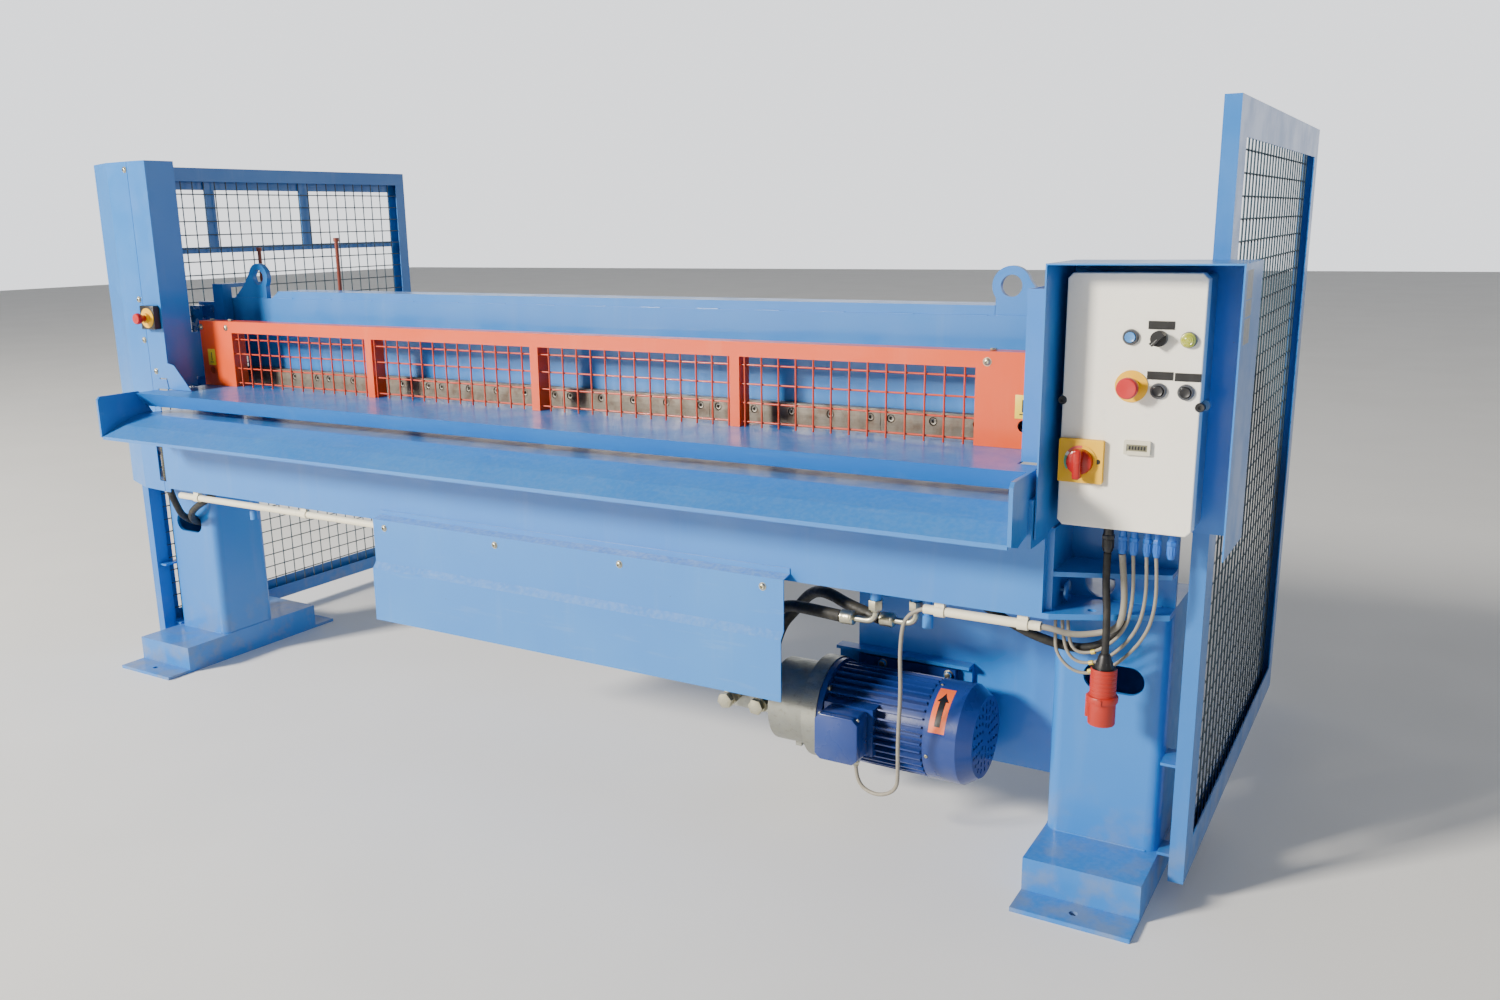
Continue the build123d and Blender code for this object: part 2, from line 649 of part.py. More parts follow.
def build_enclosure_cover() -> None:
    """Front cover of the control enclosure with cut corners."""
    left, right = PANEL_X - PANEL_WIDTH / 2, PANEL_X + PANEL_WIDTH / 2
    bottom, top = PANEL_Z - PANEL_HEIGHT / 2, PANEL_Z + PANEL_HEIGHT / 2
    with BuildPart() as cover:
        block(left, right, PANEL_Y, PANEL_Y + 30, bottom, top)
        chamfer(cover.edges().filter_by(Axis.Y), 10)
        fillet(cover.faces().sort_by(Axis.Y)[0].edges(), 3)
        block(left + 4, right - 4, PANEL_Y + 4, PANEL_Y + 30, bottom + 12, top - 12, Mode.SUBTRACT)
        for x in (left, right):
            rod((x, PANEL_Y - 1, PANEL_Z + 2), (0, 1, 0), 9, 40, Mode.SUBTRACT)
        for x in (left + 18, right - 18):
            for z in (bottom + 18, top - 18):
                rod((x, PANEL_Y, z), (0, 1, 0), 9, 12)
                rod((x, PANEL_Y - 1, z), (0, 1, 0), 8, 1.6, Mode.SUBTRACT)
                rod((x, PANEL_Y, z), (0, 1, 0), 7.2, 2)
        for x, z in OPERATOR_POSITIONS:
            rod((x, PANEL_Y - 1, z), (0, 1, 0), 11.2, 8, Mode.SUBTRACT)
    save(cover, "enclosure_cover")


OPERATOR_POSITIONS = ((1545, 1188), (1596, 1187), (1647, 1186), (1551, 1097), (1600, 1091), (1648, 1091),
                      (1467, 950))


def bezel(x: float, z: float):
    """Fixed mounting collar of a 22 mm operator."""
    rod((x, PANEL_Y, z), (0, -1, 0), 14.8, 7)
    rod((x, PANEL_Y + 20, z), (0, -1, 0), 11, 22)
    rod((x, PANEL_Y + 22, z), (0, -1, 0), 10.2, 40, Mode.SUBTRACT)


def build_operator_collars() -> None:
    """Collars of the round operators on the cover."""
    with BuildPart() as collars:
        for x, z in OPERATOR_POSITIONS[:3] + OPERATOR_POSITIONS[4:6]:
            bezel(x, z)
    save(collars, "operator_collars")


def build_push_button(name: str, index: int, proud: float) -> None:
    """Plunger of a push button, free to travel inwards."""
    x, z = OPERATOR_POSITIONS[index]
    with BuildPart() as button:
        rod((x, PANEL_Y + 14, z), (0, -1, 0), 9.8, 14 + proud)
        fillet(button.faces().sort_by(Axis.Y)[0].edges(), 1.2)
    save(button, name)


def build_selector() -> None:
    """Selector knob with a pointed grip."""
    x, z = OPERATOR_POSITIONS[1]
    with BuildPart() as knob:
        rod((x, PANEL_Y + 14, z), (0, -1, 0), 9.8, 22)
        rod((x, PANEL_Y - 7.6, z), (0, -1, 0), 14.4, 6)
        with Locations(Location((x, PANEL_Y - 20, z), (0, 45, 0))):
            Box(8, 14, 30)
    save(knob, "selector_knob")


def build_lamp() -> None:
    """Signal lamp lens."""
    x, z = OPERATOR_POSITIONS[2]
    with BuildPart() as lamp:
        rod((x, PANEL_Y + 14, z), (0, -1, 0), 9.8, 22)
        rod((x, PANEL_Y - 7.4, z), (0, -1, 0), 13.6, 8)
        fillet(lamp.faces().sort_by(Axis.Y)[0].edges(), 4)
    save(lamp, "signal_lamp")


def build_estop_head(name: str, x: float, y: float, z: float, radius: float) -> None:
    """Mushroom head of an emergency stop."""
    with BuildPart() as head:
        rod((x, y + 14, z), (0, -1, 0), 9.8, 36)
        cone((x, y - 20, z), (0, -1, 0), 11, radius, 8)
        rod((x, y - 28, z), (0, -1, 0), radius, 14)
        fillet(head.faces().sort_by(Axis.Y)[0].edges(), 4)
    save(head, name)


def estop_ring(x: float, y: float, z: float):
    """Round back plate and collar of an emergency stop."""
    rod((x, y, z), (0, -1, 0), 30, 2.5)
    rod((x, y - 2.5, z), (0, -1, 0), 15, 9)
    rod((x, y + 10, z), (0, -1, 0), 11, 12)
    rod((x, y + 16, z), (0, -1, 0), 10.2, 40, Mode.SUBTRACT)


def build_estop_rings() -> None:
    """Yellow back plates of the two emergency stops."""
    with BuildPart() as rings:
        estop_ring(1551, PANEL_Y, 1097)
        estop_ring(-1383, -263, 1152)
    save(rings, "estop_rings")


def build_estop_box() -> None:
    """Small box of the left emergency stop."""
    with BuildPart() as box:
        block(-1417, -1350, -263, -243.5, 1117, 1189)
        fillet(box.edges().filter_by(Axis.Y), 5)
        rod((-1383, -240, 1152), (0, -1, 0), 11.2, 30, Mode.SUBTRACT)
    save(box, "estop_box")


def build_hour_counter() -> None:
    """Hour counter in its rectangular bezel."""
    with BuildPart() as counter:
        block(1545, 1593, PANEL_Y - 8, PANEL_Y, 969, 996)
        fillet(counter.edges().filter_by(Axis.Y), 2)
        block(1550, 1588, PANEL_Y - 9, PANEL_Y - 6, 976, 989, Mode.SUBTRACT)
    save(counter, "hour_counter")


def build_switch_plate() -> None:
    """Square plate of the main switch."""
    x, z = OPERATOR_POSITIONS[6]
    with BuildPart() as plate:
        block(x - 42, x + 42, PANEL_Y - 12, PANEL_Y, z - 42, z + 42)
        fillet(plate.edges().filter_by(Axis.Y), 3)
        rod((x, PANEL_Y - 12, z), (0, -1, 0), 31, 2)
        rod((x, PANEL_Y + 8, z), (0, -1, 0), 11, 8)
        rod((x, PANEL_Y + 10, z), (0, -1, 0), 9, 30, Mode.SUBTRACT)
    save(plate, "switch_plate")


def build_switch_handle() -> None:
    """Rotary handle of the main switch."""
    x, z = OPERATOR_POSITIONS[6]
    with BuildPart() as handle:
        rod((x, PANEL_Y + 6, z), (0, -1, 0), 8.6, 22)
        rod((x, PANEL_Y - 14.4, z), (0, -1, 0), 25, 12)
        block(x - 8, x + 8, PANEL_Y - 44, PANEL_Y - 20, z - 31, z + 27)
        fillet(handle.edges().filter_by(Axis.Y).group_by(SortBy.LENGTH)[-1], 3)
    save(handle, "switch_handle")


def build_label_plates() -> None:
    """Blank engraved label plates above the operators."""
    with BuildPart() as labels:
        for x, z in ((1598, 1211), (1601, 1119), (1650, 1118)):
            block(x - 23, x + 23, PANEL_Y - 1.5, PANEL_Y, z - 7.5, z + 7.5)
    save(labels, "label_plates")


def build_cable_glands() -> None:
    """Cable glands below the enclosure, the supply gland being the largest."""
    bottom = PANEL_Z - PANEL_HEIGHT / 2 + 4
    with BuildPart() as glands:
        for x, radius in ((1514, 12), (1542, 8.5), (1563, 8.5), (1588, 7.5), (1606, 7.5), (1633, 8.5)):
            rod((x, HANG_Y, bottom), (0, 0, -1), radius, 30)
            rod((x, HANG_Y, bottom - 30), (0, 0, -1), radius * 0.9, 32)
    save(glands, "cable_glands")


def build_plug() -> None:
    """Industrial plug hanging on the supply cord."""
    x, y = 1520, HANG_Y
    with BuildPart() as plug:
        cone((x, y, 551), (0, 0, -1), 11, 19, 30)
        rod((x, y, 521), (0, 0, -1), 26, 60)
        rod((x, y, 470), (0, 0, -1), 31, 12)
        rod((x, y, 461), (0, 0, -1), 27, 59)
        rod((x, y, 440), (0, 0, -1), 23.5, 50, Mode.SUBTRACT)
        rod((x, y, 442), (0, 0, -1), 15, 12)
        for i in range(5):
            with Locations(Location((x, y, 440), (0, 0, 72 * i))):
                with Locations((14, 0, -16)):
                    Cylinder(2.6, 32)
        block(x - 33, x - 24, y - 4, y + 4, 412, 461)
        rod((x, y, 552), (0, 0, -1), 8, 12, Mode.SUBTRACT)
    save(plug, "plug")


SUPPLY_CORD = [(1514, HANG_Y, GLAND_END), (1513, HANG_Y, 700), (1521, HANG_Y, 630), (1520, HANG_Y, 541)]
MOTOR_LEAD = [(1141, -236, 592), (1098, -237, 579), (1086, -237, 500), (1090, -235, 390), (1083, -230, 285),
              (1080, -220, 205), (1076, -212, 142), (1021, -205, 113), (968, -197, 131), (966, -195, 173)]
CABLES = {
    "cable_1": ([(1542, HANG_Y, GLAND_END), (1549, -221, 704), (1551, -216, 648), (1540, -204, 602),
                 (1500, -200, 584), (1450, -216, 577), (1412, -235, 592), (1385, -235, 592)], 6.5),
    "cable_2": ([(1563, HANG_Y, GLAND_END), (1567, HANG_Y, 706), (1565, -217, 652), (1552, -197, 604),
                 (1524, -180, 562), (1486, -175, 532), (1450, -178, 528), (1434, -182, 560),
                 (1433, -184, 613)], 3.5),
    "cable_3": ([(1588, HANG_Y, GLAND_END), (1592, HANG_Y, 706), (1588, -216, 652), (1574, -197, 604),
                 (1545, -181, 556), (1502, -175, 514), (1450, -177, 504), (1423, -181, 545),
                 (1421, -184, 613)], 3.5),
    "cable_4": ([(1606, HANG_Y, GLAND_END), (1611, HANG_Y, 708), (1608, -216, 654), (1595, -197, 604),
                 (1566, -181, 552), (1516, -175, 498), (1455, -177, 480), (1412, -181, 516),
                 (1408, -184, 566), (1408, -185, 613)], 3.5),
}


def build_cords() -> None:
    """Supply cord, motor lead and the four control cables."""
    with BuildPart() as supply:
        tube(SUPPLY_CORD, 7.5)
    save(supply, "supply_cord")
    with BuildPart() as lead:
        tube(MOTOR_LEAD, 4.5)
    save(lead, "motor_lead")
    for name, (points, radius) in CABLES.items():
        with BuildPart() as cable:
            tube(points, radius)
        save(cable, name)


def build_conduits() -> None:
    """Plastic conduits with clips under the front of the beam."""
    with BuildPart() as conduits:
        for x0, x1, clips in ((-1362, -470, (-1290, -800)), (1140, 1393, (1165, 1345))):
            rod((x0, -235, 592), (1, 0, 0), 10, x1 - x0)
            rod((x0 - 1, -235, 592), (1, 0, 0), 7.2, x1 - x0 + 2, Mode.SUBTRACT)
            for x in clips:
                rod((x, -235, 592), (1, 0, 0), 13, 22)
                rod((x, -235, 592), (1, 0, 0), 9.5, 22, Mode.SUBTRACT)
                block(x, x + 22, -242, -228, 603, BEAM_BOTTOM)
    save(conduits, "conduits")


# ---------------------------------------------------------- hardware

def build_cover_bolts() -> None:
    """Identical button-head bolts of the covers and the guard."""
    front_faces = [(-1338, GUARD_FRONT, 1114), (-1219, GUARD_FRONT, 1114), (1220, GUARD_FRONT, 1112),
                   (-413, -286.5, 604), (-17, -286.5, 604), (377, -286.5, 604), (773, -286.5, 604),
                   (-1440, -242.5, 1593), (-1442, -242.5, 1081), (-1400, -243.5, 986), (-1445, -242.5, 1206)]
    with BuildPart() as bolts:
        for x, y, z in front_faces:
            rod((x, y, z), (0, -1, 0), 8, 5)
        for x in (-1310, -1225, 1225, 1310):
            rod((x, -88, GUARD_TOP), (0, 0, 1), 8, 5)
    save(bolts, "cover_bolts")


def build_rear_rods() -> None:
    """Rods standing on the rear ears of the fixed beam."""
    with BuildPart() as rods:
        for x, top in ((-1378, 1352), (-1010, 1380)):
            block(x - 15, x + 15, LEG_REAR, 190, 740, 746)
            rod((x, 172, 746), (0, 0, 1), 6, top - 746)
            rod((x, 172, top - 12), (0, 0, 1), 9, 12)
    save(rods, "rear_rods")


def main() -> None:
    """Build every piece of the machine."""
    build_stand("stand_left", -1)
    build_stand("stand_right", 1)
    build_lower_beam()
    build_end_brackets()
    build_stop_screws()
    build_lower_blade()
    build_guide_columns()
    build_knife_beam()
    build_upper_blade()
    build_blade_bolts()
    build_cylinders()
    build_piston_rods()
    build_funnel_upper()
    build_funnel_lower()
    build_guard_frame()
    build_guard_mesh()
    build_housing_front()
    build_housing_sides()
    build_side_guard("side_guard_left", -1)
    build_side_guard("side_guard_right", 1)
    build_side_meshes()
    build_lower_cover()
    build_back_panel()
    build_oil_tank()
    build_bellhousing()
    build_motor_body()
    build_motor_mount()
    build_motor_cowl()
    build_motor_rotor()
    build_terminal_box()
    build_hydraulic_fittings()
    build_hydraulic_hoses()
    build_control_hood()
    build_enclosure_box()
    build_enclosure_cover()
    build_operator_collars()
    build_push_button("button_start", 0, 9)
    build_push_button("button_down", 4, 10)
    build_push_button("button_return", 5, 10)
    build_selector()
    build_lamp()
    build_estop_head("estop_head_right", 1551, PANEL_Y, 1097, 20)
    build_estop_head("estop_head_left", -1383, -263, 1152, 17)
    build_estop_rings()
    build_estop_box()
    build_hour_counter()
    build_switch_plate()
    build_switch_handle()
    build_label_plates()
    build_cable_glands()
    build_plug()
    build_cords()
    build_conduits()
    build_cover_bolts()
    build_rear_rods()


if __name__ == "__main__":
    main()
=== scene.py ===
"""Looks of a hydraulic mesh shear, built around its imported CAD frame.

Every piece is shaped in millimetres and scaled to metres when it is finished.
+X runs along the beams to the control station, +Y to the rear, +Z up.
"""

import logging
import math
from dataclasses import dataclass
from enum import Enum
from typing import Protocol

import bmesh
import bpy
from mathutils import Matrix, Vector


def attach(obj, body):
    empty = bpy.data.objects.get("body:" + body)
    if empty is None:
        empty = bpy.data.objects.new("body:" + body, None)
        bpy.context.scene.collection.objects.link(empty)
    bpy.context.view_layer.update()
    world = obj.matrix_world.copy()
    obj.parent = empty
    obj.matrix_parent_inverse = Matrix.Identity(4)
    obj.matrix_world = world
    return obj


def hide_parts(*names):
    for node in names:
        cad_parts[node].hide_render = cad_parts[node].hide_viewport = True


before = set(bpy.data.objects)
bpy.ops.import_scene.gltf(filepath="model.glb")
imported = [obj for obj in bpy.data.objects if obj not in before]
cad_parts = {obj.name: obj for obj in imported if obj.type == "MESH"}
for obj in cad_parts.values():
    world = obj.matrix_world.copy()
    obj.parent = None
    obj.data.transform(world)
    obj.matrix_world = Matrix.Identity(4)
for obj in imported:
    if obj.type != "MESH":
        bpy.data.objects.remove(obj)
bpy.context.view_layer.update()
LOG = logging.getLogger("mesh_shear")
Point = tuple[float, float, float]
Socket = bpy.types.NodeSocket


class Way(Enum):
    """Directions that pieces are built along."""

    RIGHT = (1.0, 0.0, 0.0)
    LEFT = (-1.0, 0.0, 0.0)
    FRONT = (0.0, -1.0, 0.0)
    REAR = (0.0, 1.0, 0.0)
    UP = (0.0, 0.0, 1.0)
    DOWN = (0.0, 0.0, -1.0)


# ------------------------------------------------------------ materials

def linear(code: str) -> tuple[float, float, float, float]:
    """Turn an sRGB hex colour into linear RGBA.

    Args:
        code: Six hex digits.

    Returns:
        Linear red, green, blue and an alpha of 1.
    """
    values = [int(code[i:i + 2], 16) / 255 for i in (0, 2, 4)]
    curved = [v / 12.92 if v <= 0.04045 else ((v + 0.055) / 1.055) ** 2.4 for v in values]
    return (curved[0], curved[1], curved[2], 1.0)


def add_node(tree: bpy.types.NodeTree, kind: str, inputs: dict | None = None, **settings) -> bpy.types.Node:
    """Add a shader node with its settings and links.

    Args:
        tree: Node tree that takes the node.
        kind: Node type name.
        inputs: Socket name or index to a value or to a socket that feeds it.
        **settings: Properties of the node.

    Returns:
        The new node.
    """
    node = tree.nodes.new(kind)
    for name, value in settings.items():
        setattr(node, name, value)
    for key, value in (inputs or {}).items():
        if isinstance(value, Socket):
            tree.links.new(value, node.inputs[key])
        else:
            node.inputs[key].default_value = value
    return node


class Coat:
    """Node tree of one finish while its layers are put on."""

    def __init__(self, name: str, colour: str) -> None:
        """Start a finish.

        Args:
            name: Name of the real material.
            colour: Hex colour of the clean surface.
        """
        self.material = bpy.data.materials.new(name)
        self.material.use_nodes = True
        self.material.diffuse_color = linear(colour)
        self.tree = self.material.node_tree
        self.tree.nodes.clear()
        self.where = add_node(self.tree, "ShaderNodeTexCoord").outputs["Object"]
        self.tint = add_node(self.tree, "ShaderNodeRGB").outputs[0]
        self.tint.default_value = linear(colour)
        self.relief: Socket | None = None

    def patch(self, size: float, low: float, high: float, stretch: Point = (1, 1, 1),
              detail: float = 3.0) -> Socket:
        """Lay out an uneven mask over the surface.

        Args:
            size: Size of its features in millimetres.
            low: Pattern value where the mask starts.
            high: Pattern value where the mask is full.
            stretch: Scale of the pattern along X, Y and Z.
            detail: Octaves of finer detail.

        Returns:
            Mask from 0 to 1.
        """
        place = add_node(self.tree, "ShaderNodeMapping", {"Vector": self.where, "Scale": stretch})
        cloud = add_node(self.tree, "ShaderNodeTexNoise", {"Vector": place.outputs[0],
                         "Scale": 1000 / size, "Detail": detail, "Roughness": 0.55})
        band = add_node(self.tree, "ShaderNodeMapRange", {"Value": cloud.outputs[0],
                        "From Min": low, "From Max": high}, interpolation_type="SMOOTHSTEP")
        return band.outputs[0]

    def spots(self, pitch: float, size: float) -> Socket:
        """Scatter small round marks.

        Args:
            pitch: Mean distance between marks in millimetres.
            size: Radius of a mark in millimetres.

        Returns:
            Mask that is 1 inside the marks.
        """
        cell = add_node(self.tree, "ShaderNodeTexVoronoi", {"Vector": self.where, "Scale": 1000 / pitch})
        band = add_node(self.tree, "ShaderNodeMapRange", {"Value": cell.outputs["Distance"],
                        "From Min": size / pitch, "From Max": 0.6 * size / pitch})
        return band.outputs[0]

    def upward(self, strength: float) -> Socket:
        """Find the upward faces, where dust gathers and where the cover's ledge carries a painted highlight.

        Args:
            strength: Mask value on a level face.

        Returns:
            Mask that grows as a face turns upwards.
        """
        normal = add_node(self.tree, "ShaderNodeNewGeometry").outputs["Normal"]
        height = add_node(self.tree, "ShaderNodeSeparateXYZ", {0: normal}).outputs[2]
        band = add_node(self.tree, "ShaderNodeMapRange", {"Value": height, "From Min": 0.35,
                        "From Max": 1.0, "To Max": strength})
        return band.outputs[0]

    def level(self, low: float, high: float, strength: float) -> Socket:
        """Fade a mask with height above the floor.

        Args:
            low: Height in millimetres where the mask is full.
            high: Height where it has gone.
            strength: Mask value when full.

        Returns:
            Mask from strength to 0.
        """
        height = add_node(self.tree, "ShaderNodeSeparateXYZ", {0: self.where}).outputs[2]
        band = add_node(self.tree, "ShaderNodeMapRange", {"Value": height, "From Min": low / 1000,
                        "From Max": high / 1000, "To Min": strength, "To Max": 0.0})
        return band.outputs[0]

    def join(self, one: Socket, two: Socket | float) -> Socket:
        """Multiply two masks, or a mask and a number."""
        return add_node(self.tree, "ShaderNodeMath", {0: one, 1: two}, operation="MULTIPLY").outputs[0]

    def paint(self, mask: Socket, colour: str, strength: float = 1.0) -> None:
        """Lay a colour over the surface where a mask says.

        Args:
            mask: Where the colour lies.
            colour: Hex colour.
            strength: Share of the colour where the mask is full.
        """
        share = self.join(mask, strength)
        mixed = add_node(self.tree, "ShaderNodeMix", {0: share, 6: self.tint, 7: linear(colour)},
                         data_type="RGBA")
        self.tint = mixed.outputs[2]

    def emboss(self, height: Socket, depth: float, strength: float = 1.0) -> None:
        """Add relief to the surface.

        Args:
            height: Height pattern.
            depth: Depth of the relief in millimetres.
            strength: How strongly it turns the light.
        """
        wiring = {"Height": height, "Distance": depth / 1000, "Strength": strength}
        if self.relief is not None:
            wiring["Normal"] = self.relief
        self.relief = add_node(self.tree, "ShaderNodeBump", wiring).outputs[0]

    def close(self, roughness: Socket | float, **sockets) -> bpy.types.Material:
        """Finish the shader.

        Args:
            roughness: Roughness value or pattern.
            **sockets: Other Principled inputs, spaces written as underscores.

        Returns:
            The finished material.
        """
        wiring = {"Base Color": self.tint, "Roughness": roughness}
        wiring |= {name.replace("_", " "): value for name, value in sockets.items()}
        if self.relief is not None:
            wiring["Normal"] = self.relief
        shader = add_node(self.tree, "ShaderNodeBsdfPrincipled", wiring)
        add_node(self.tree, "ShaderNodeOutputMaterial", {"Surface": shader.outputs[0]})
        return self.material

    def spread(self, mask: Socket, low: float, high: float) -> Socket:
        """Turn a mask into roughness between two values."""
        return add_node(self.tree, "ShaderNodeMapRange", {"Value": mask, "To Min": low,
                        "To Max": high}).outputs[0]


class Finish(Protocol):
    """Anything that can build its material."""

    def material(self) -> bpy.types.Material:
        """Build the material."""


@dataclass(frozen=True)
class Enamel:
    """Enamel sprayed on sheet steel.

    It shows a soft gloss over slightly wavy plate, orange peel, paler faded
    areas, dust on level faces, runs below edges and a few chips. Where the
    dust is made heavy, as on the cover's ledge, its pale colour is also a
    painted highlight.
    """

    name: str
    colour: str
    faded: str
    dust: str = "9DB6CC"
    chip: str = "4A4B50"
    gloss: float = 0.30
    dust_and_sheen: float = 0.12
    chips: float = 1.0
    scuffs: float = 0.0

    def material(self) -> bpy.types.Material:
        """Build the material."""
        coat = Coat(self.name, self.colour)
        cloud = coat.patch(380, 0.35, 0.7)
        coat.paint(cloud, self.faded, 0.4)
        runs = coat.patch(46, 0.56, 0.74, (1, 1, 0.1))
        coat.paint(runs, self.dust, 0.05)
        grain = coat.patch(11, 0.3, 0.75, detail=5)
        # Pale dust on upward faces; at the heavy strength used on the cover's ledge it is also a painted
        # highlight.
        coat.paint(coat.join(coat.upward(1.0), grain), self.dust, self.dust_and_sheen)
        feet = coat.join(coat.level(0, 240, 1.0), coat.patch(70, 0.42, 0.66, detail=6))
        coat.paint(feet, "8E8A80", 0.45)
        if self.scuffs:
            rubbed = coat.patch(26, 0.6, 0.7, (0.15, 1, 1.4), 6)
            coat.paint(rubbed, self.dust, self.scuffs)
        if self.chips:
            rare = coat.join(coat.spots(70, 1.6), coat.patch(150, 0.5, 0.6))
            coat.paint(rare, self.chip, self.chips)
            coat.emboss(rare, -0.15)
        # Plate waves 250 mm long bend the reflections
        coat.emboss(coat.patch(250, 0.2, 0.8, detail=1), 3.0, 0.25)
        # Orange peel is about 2 mm; drawn at 5 mm so that it shows
        coat.emboss(coat.patch(5, 0.2, 0.8, detail=2), 0.08, 0.5)
        rough = coat.spread(coat.patch(90, 0.3, 0.75), self.gloss, self.gloss + 0.16)
        return coat.close(rough, Coat_Weight=0.25, Coat_Roughness=0.12)


@dataclass(frozen=True)
class Steel:
    """Bare or plated steel, ground along one direction, with stains."""

    name: str
    colour: str
    stain: str
    stained: float
    roughness: float = 0.36
    grain: Point = (0.05, 1.0, 1.0)
    metallic: float = 1.0
    pitting: float = 0.3

    def material(self) -> bpy.types.Material:
        """Build the material."""
        coat = Coat(self.name, self.colour)
        lines = coat.patch(3, 0.3, 0.7, self.grain, 4)
        coat.paint(lines, self.stain, 0.22)
        blooms = coat.patch(34, 0.42, 0.68, detail=7)
        coat.paint(blooms, self.stain, self.stained)
        # Pits of a millimetre, drawn at 3 mm
        coat.emboss(coat.patch(3, 0.35, 0.7, detail=4), 0.12, self.pitting)
        rough = coat.spread(blooms, self.roughness, self.roughness + 0.25)
        return coat.close(rough, Metallic=self.metallic)


@dataclass(frozen=True)
class Casting:
    """Sand-cast aluminium: bright grey skin with a fine sandy grain."""

    name: str
    colour: str = "A3A49A"

    def material(self) -> bpy.types.Material:
        """Build the material."""
        coat = Coat(self.name, self.colour)
        coat.paint(coat.patch(60, 0.4, 0.7), "8C8A84", 0.45)
        coat.paint(coat.patch(14, 0.55, 0.7, detail=5), "6F6A60", 0.3)
        coat.emboss(coat.patch(3, 0.25, 0.75, detail=4), 0.35, 0.6)
        return coat.close(coat.spread(coat.patch(25, 0.3, 0.7), 0.34, 0.55), Metallic=0.9)


@dataclass(frozen=True)
class Moulding:
    """Injection-moulded plastic: even colour, fine spark-eroded grain, slight handling marks."""

    name: str
    colour: str
    second: str
    roughness: float = 0.38
    grain: float = 2.5
    relief: float = 0.05
    soil: float = 0.12

    def material(self) -> bpy.types.Material:
        """Build the material."""
        coat = Coat(self.name, self.colour)
        coat.paint(coat.patch(120, 0.35, 0.75), self.second, 0.35)
        coat.paint(coat.patch(22, 0.58, 0.75, detail=6), "7B746A", self.soil)
        coat.emboss(coat.patch(self.grain, 0.25, 0.75, detail=2), self.relief, 0.5)
        rough = coat.spread(coat.patch(30, 0.3, 0.75), self.roughness, self.roughness + 0.14)
        return coat.close(rough, IOR=1.5)


@dataclass(frozen=True)
class Sheath:
    """Soft cable or hose sheath with a dull, slightly dusty skin."""

    name: str
    colour: str
    dust: str
    roughness: float = 0.5

    def material(self) -> bpy.types.Material:
        """Build the material."""
        coat = Coat(self.name, self.colour)
        coat.paint(coat.patch(18, 0.45, 0.75, detail=5), self.dust, 0.4)
        coat.paint(coat.upward(1.0), self.dust, 0.35)
        coat.emboss(coat.patch(2.2, 0.25, 0.75), 0.08, 0.6)
        return coat.close(coat.spread(coat.patch(12, 0.3, 0.7), self.roughness, self.roughness + 0.2))


@dataclass(frozen=True)
class Lens:
    """Clear tinted plastic lens of a signal lamp."""

    name: str
    colour: str

    def material(self) -> bpy.types.Material:
        """Build the material."""
        coat = Coat(self.name, self.colour)
        coat.paint(coat.patch(9, 0.4, 0.7), "F4F2A8", 0.5)
        coat.emboss(coat.patch(4, 0.3, 0.7), 0.1, 0.4)
        return coat.close(coat.spread(coat.patch(6, 0.3, 0.7), 0.12, 0.22), Transmission_Weight=0.35,
                          IOR=1.49)


@dataclass(frozen=True)
class Print:
    """Thin printed film or paper label."""

    name: str
    colour: str
    worn: str

    def material(self) -> bpy.types.Material:
        """Build the material."""
        coat = Coat(self.name, self.colour)
        coat.paint(coat.patch(16, 0.5, 0.75, detail=6), self.worn, 0.4)
        coat.emboss(coat.patch(3, 0.3, 0.7), 0.03, 0.4)
        return coat.close(coat.spread(coat.patch(12, 0.3, 0.7), 0.35, 0.5))


@dataclass(frozen=True)
class Ground:
    """Plain pale floor paint with a little mottling."""

    name: str = "pale floor paint"

    def material(self) -> bpy.types.Material:
        """Build the material."""
        coat = Coat(self.name, "F4F4F2")
        coat.paint(coat.patch(900, 0.3, 0.7), "ECECEA", 0.5)
        return coat.close(coat.spread(coat.patch(300, 0.3, 0.7), 0.6, 0.75))


BLUE = Enamel("light blue machine enamel on steel", "2478CA", "3484D0")
FENCE_BLUE = Enamel("light blue enamel on the fence", "2272C2", "2E7ECA", dust_and_sheen=0.06)
# The cover's heavy pale colour on its ledge is partly dust, partly a painted highlight of the sky.
LEDGE_BLUE = Enamel("weathered blue enamel of the cover", "2A7CCC", "3E8CD4", dust_and_sheen=0.5, scuffs=0.08)
SHELF_BLUE = Enamel("rubbed blue enamel of the shelf", "2474C4", "3886CE", scuffs=0.06)
DARK_BLUE = Enamel("dark blue motor enamel", "183478", "20408A", dust="5A6E9A", dust_and_sheen=0.12, gloss=0.26)
ORANGE = Enamel("orange guard enamel", "E84C08", "EC5A14", dust="F0B890", dust_and_sheen=0.08)
WIRE_RED = Enamel("red-orange enamel on wire", "C43A14", "D04C1C", dust="E0A080", dust_and_sheen=0.08)
WIRE_DARK = Enamel("dark enamel on fence wire", "2C4350", "3A5560", dust="9AA4A0", dust_and_sheen=0.2)
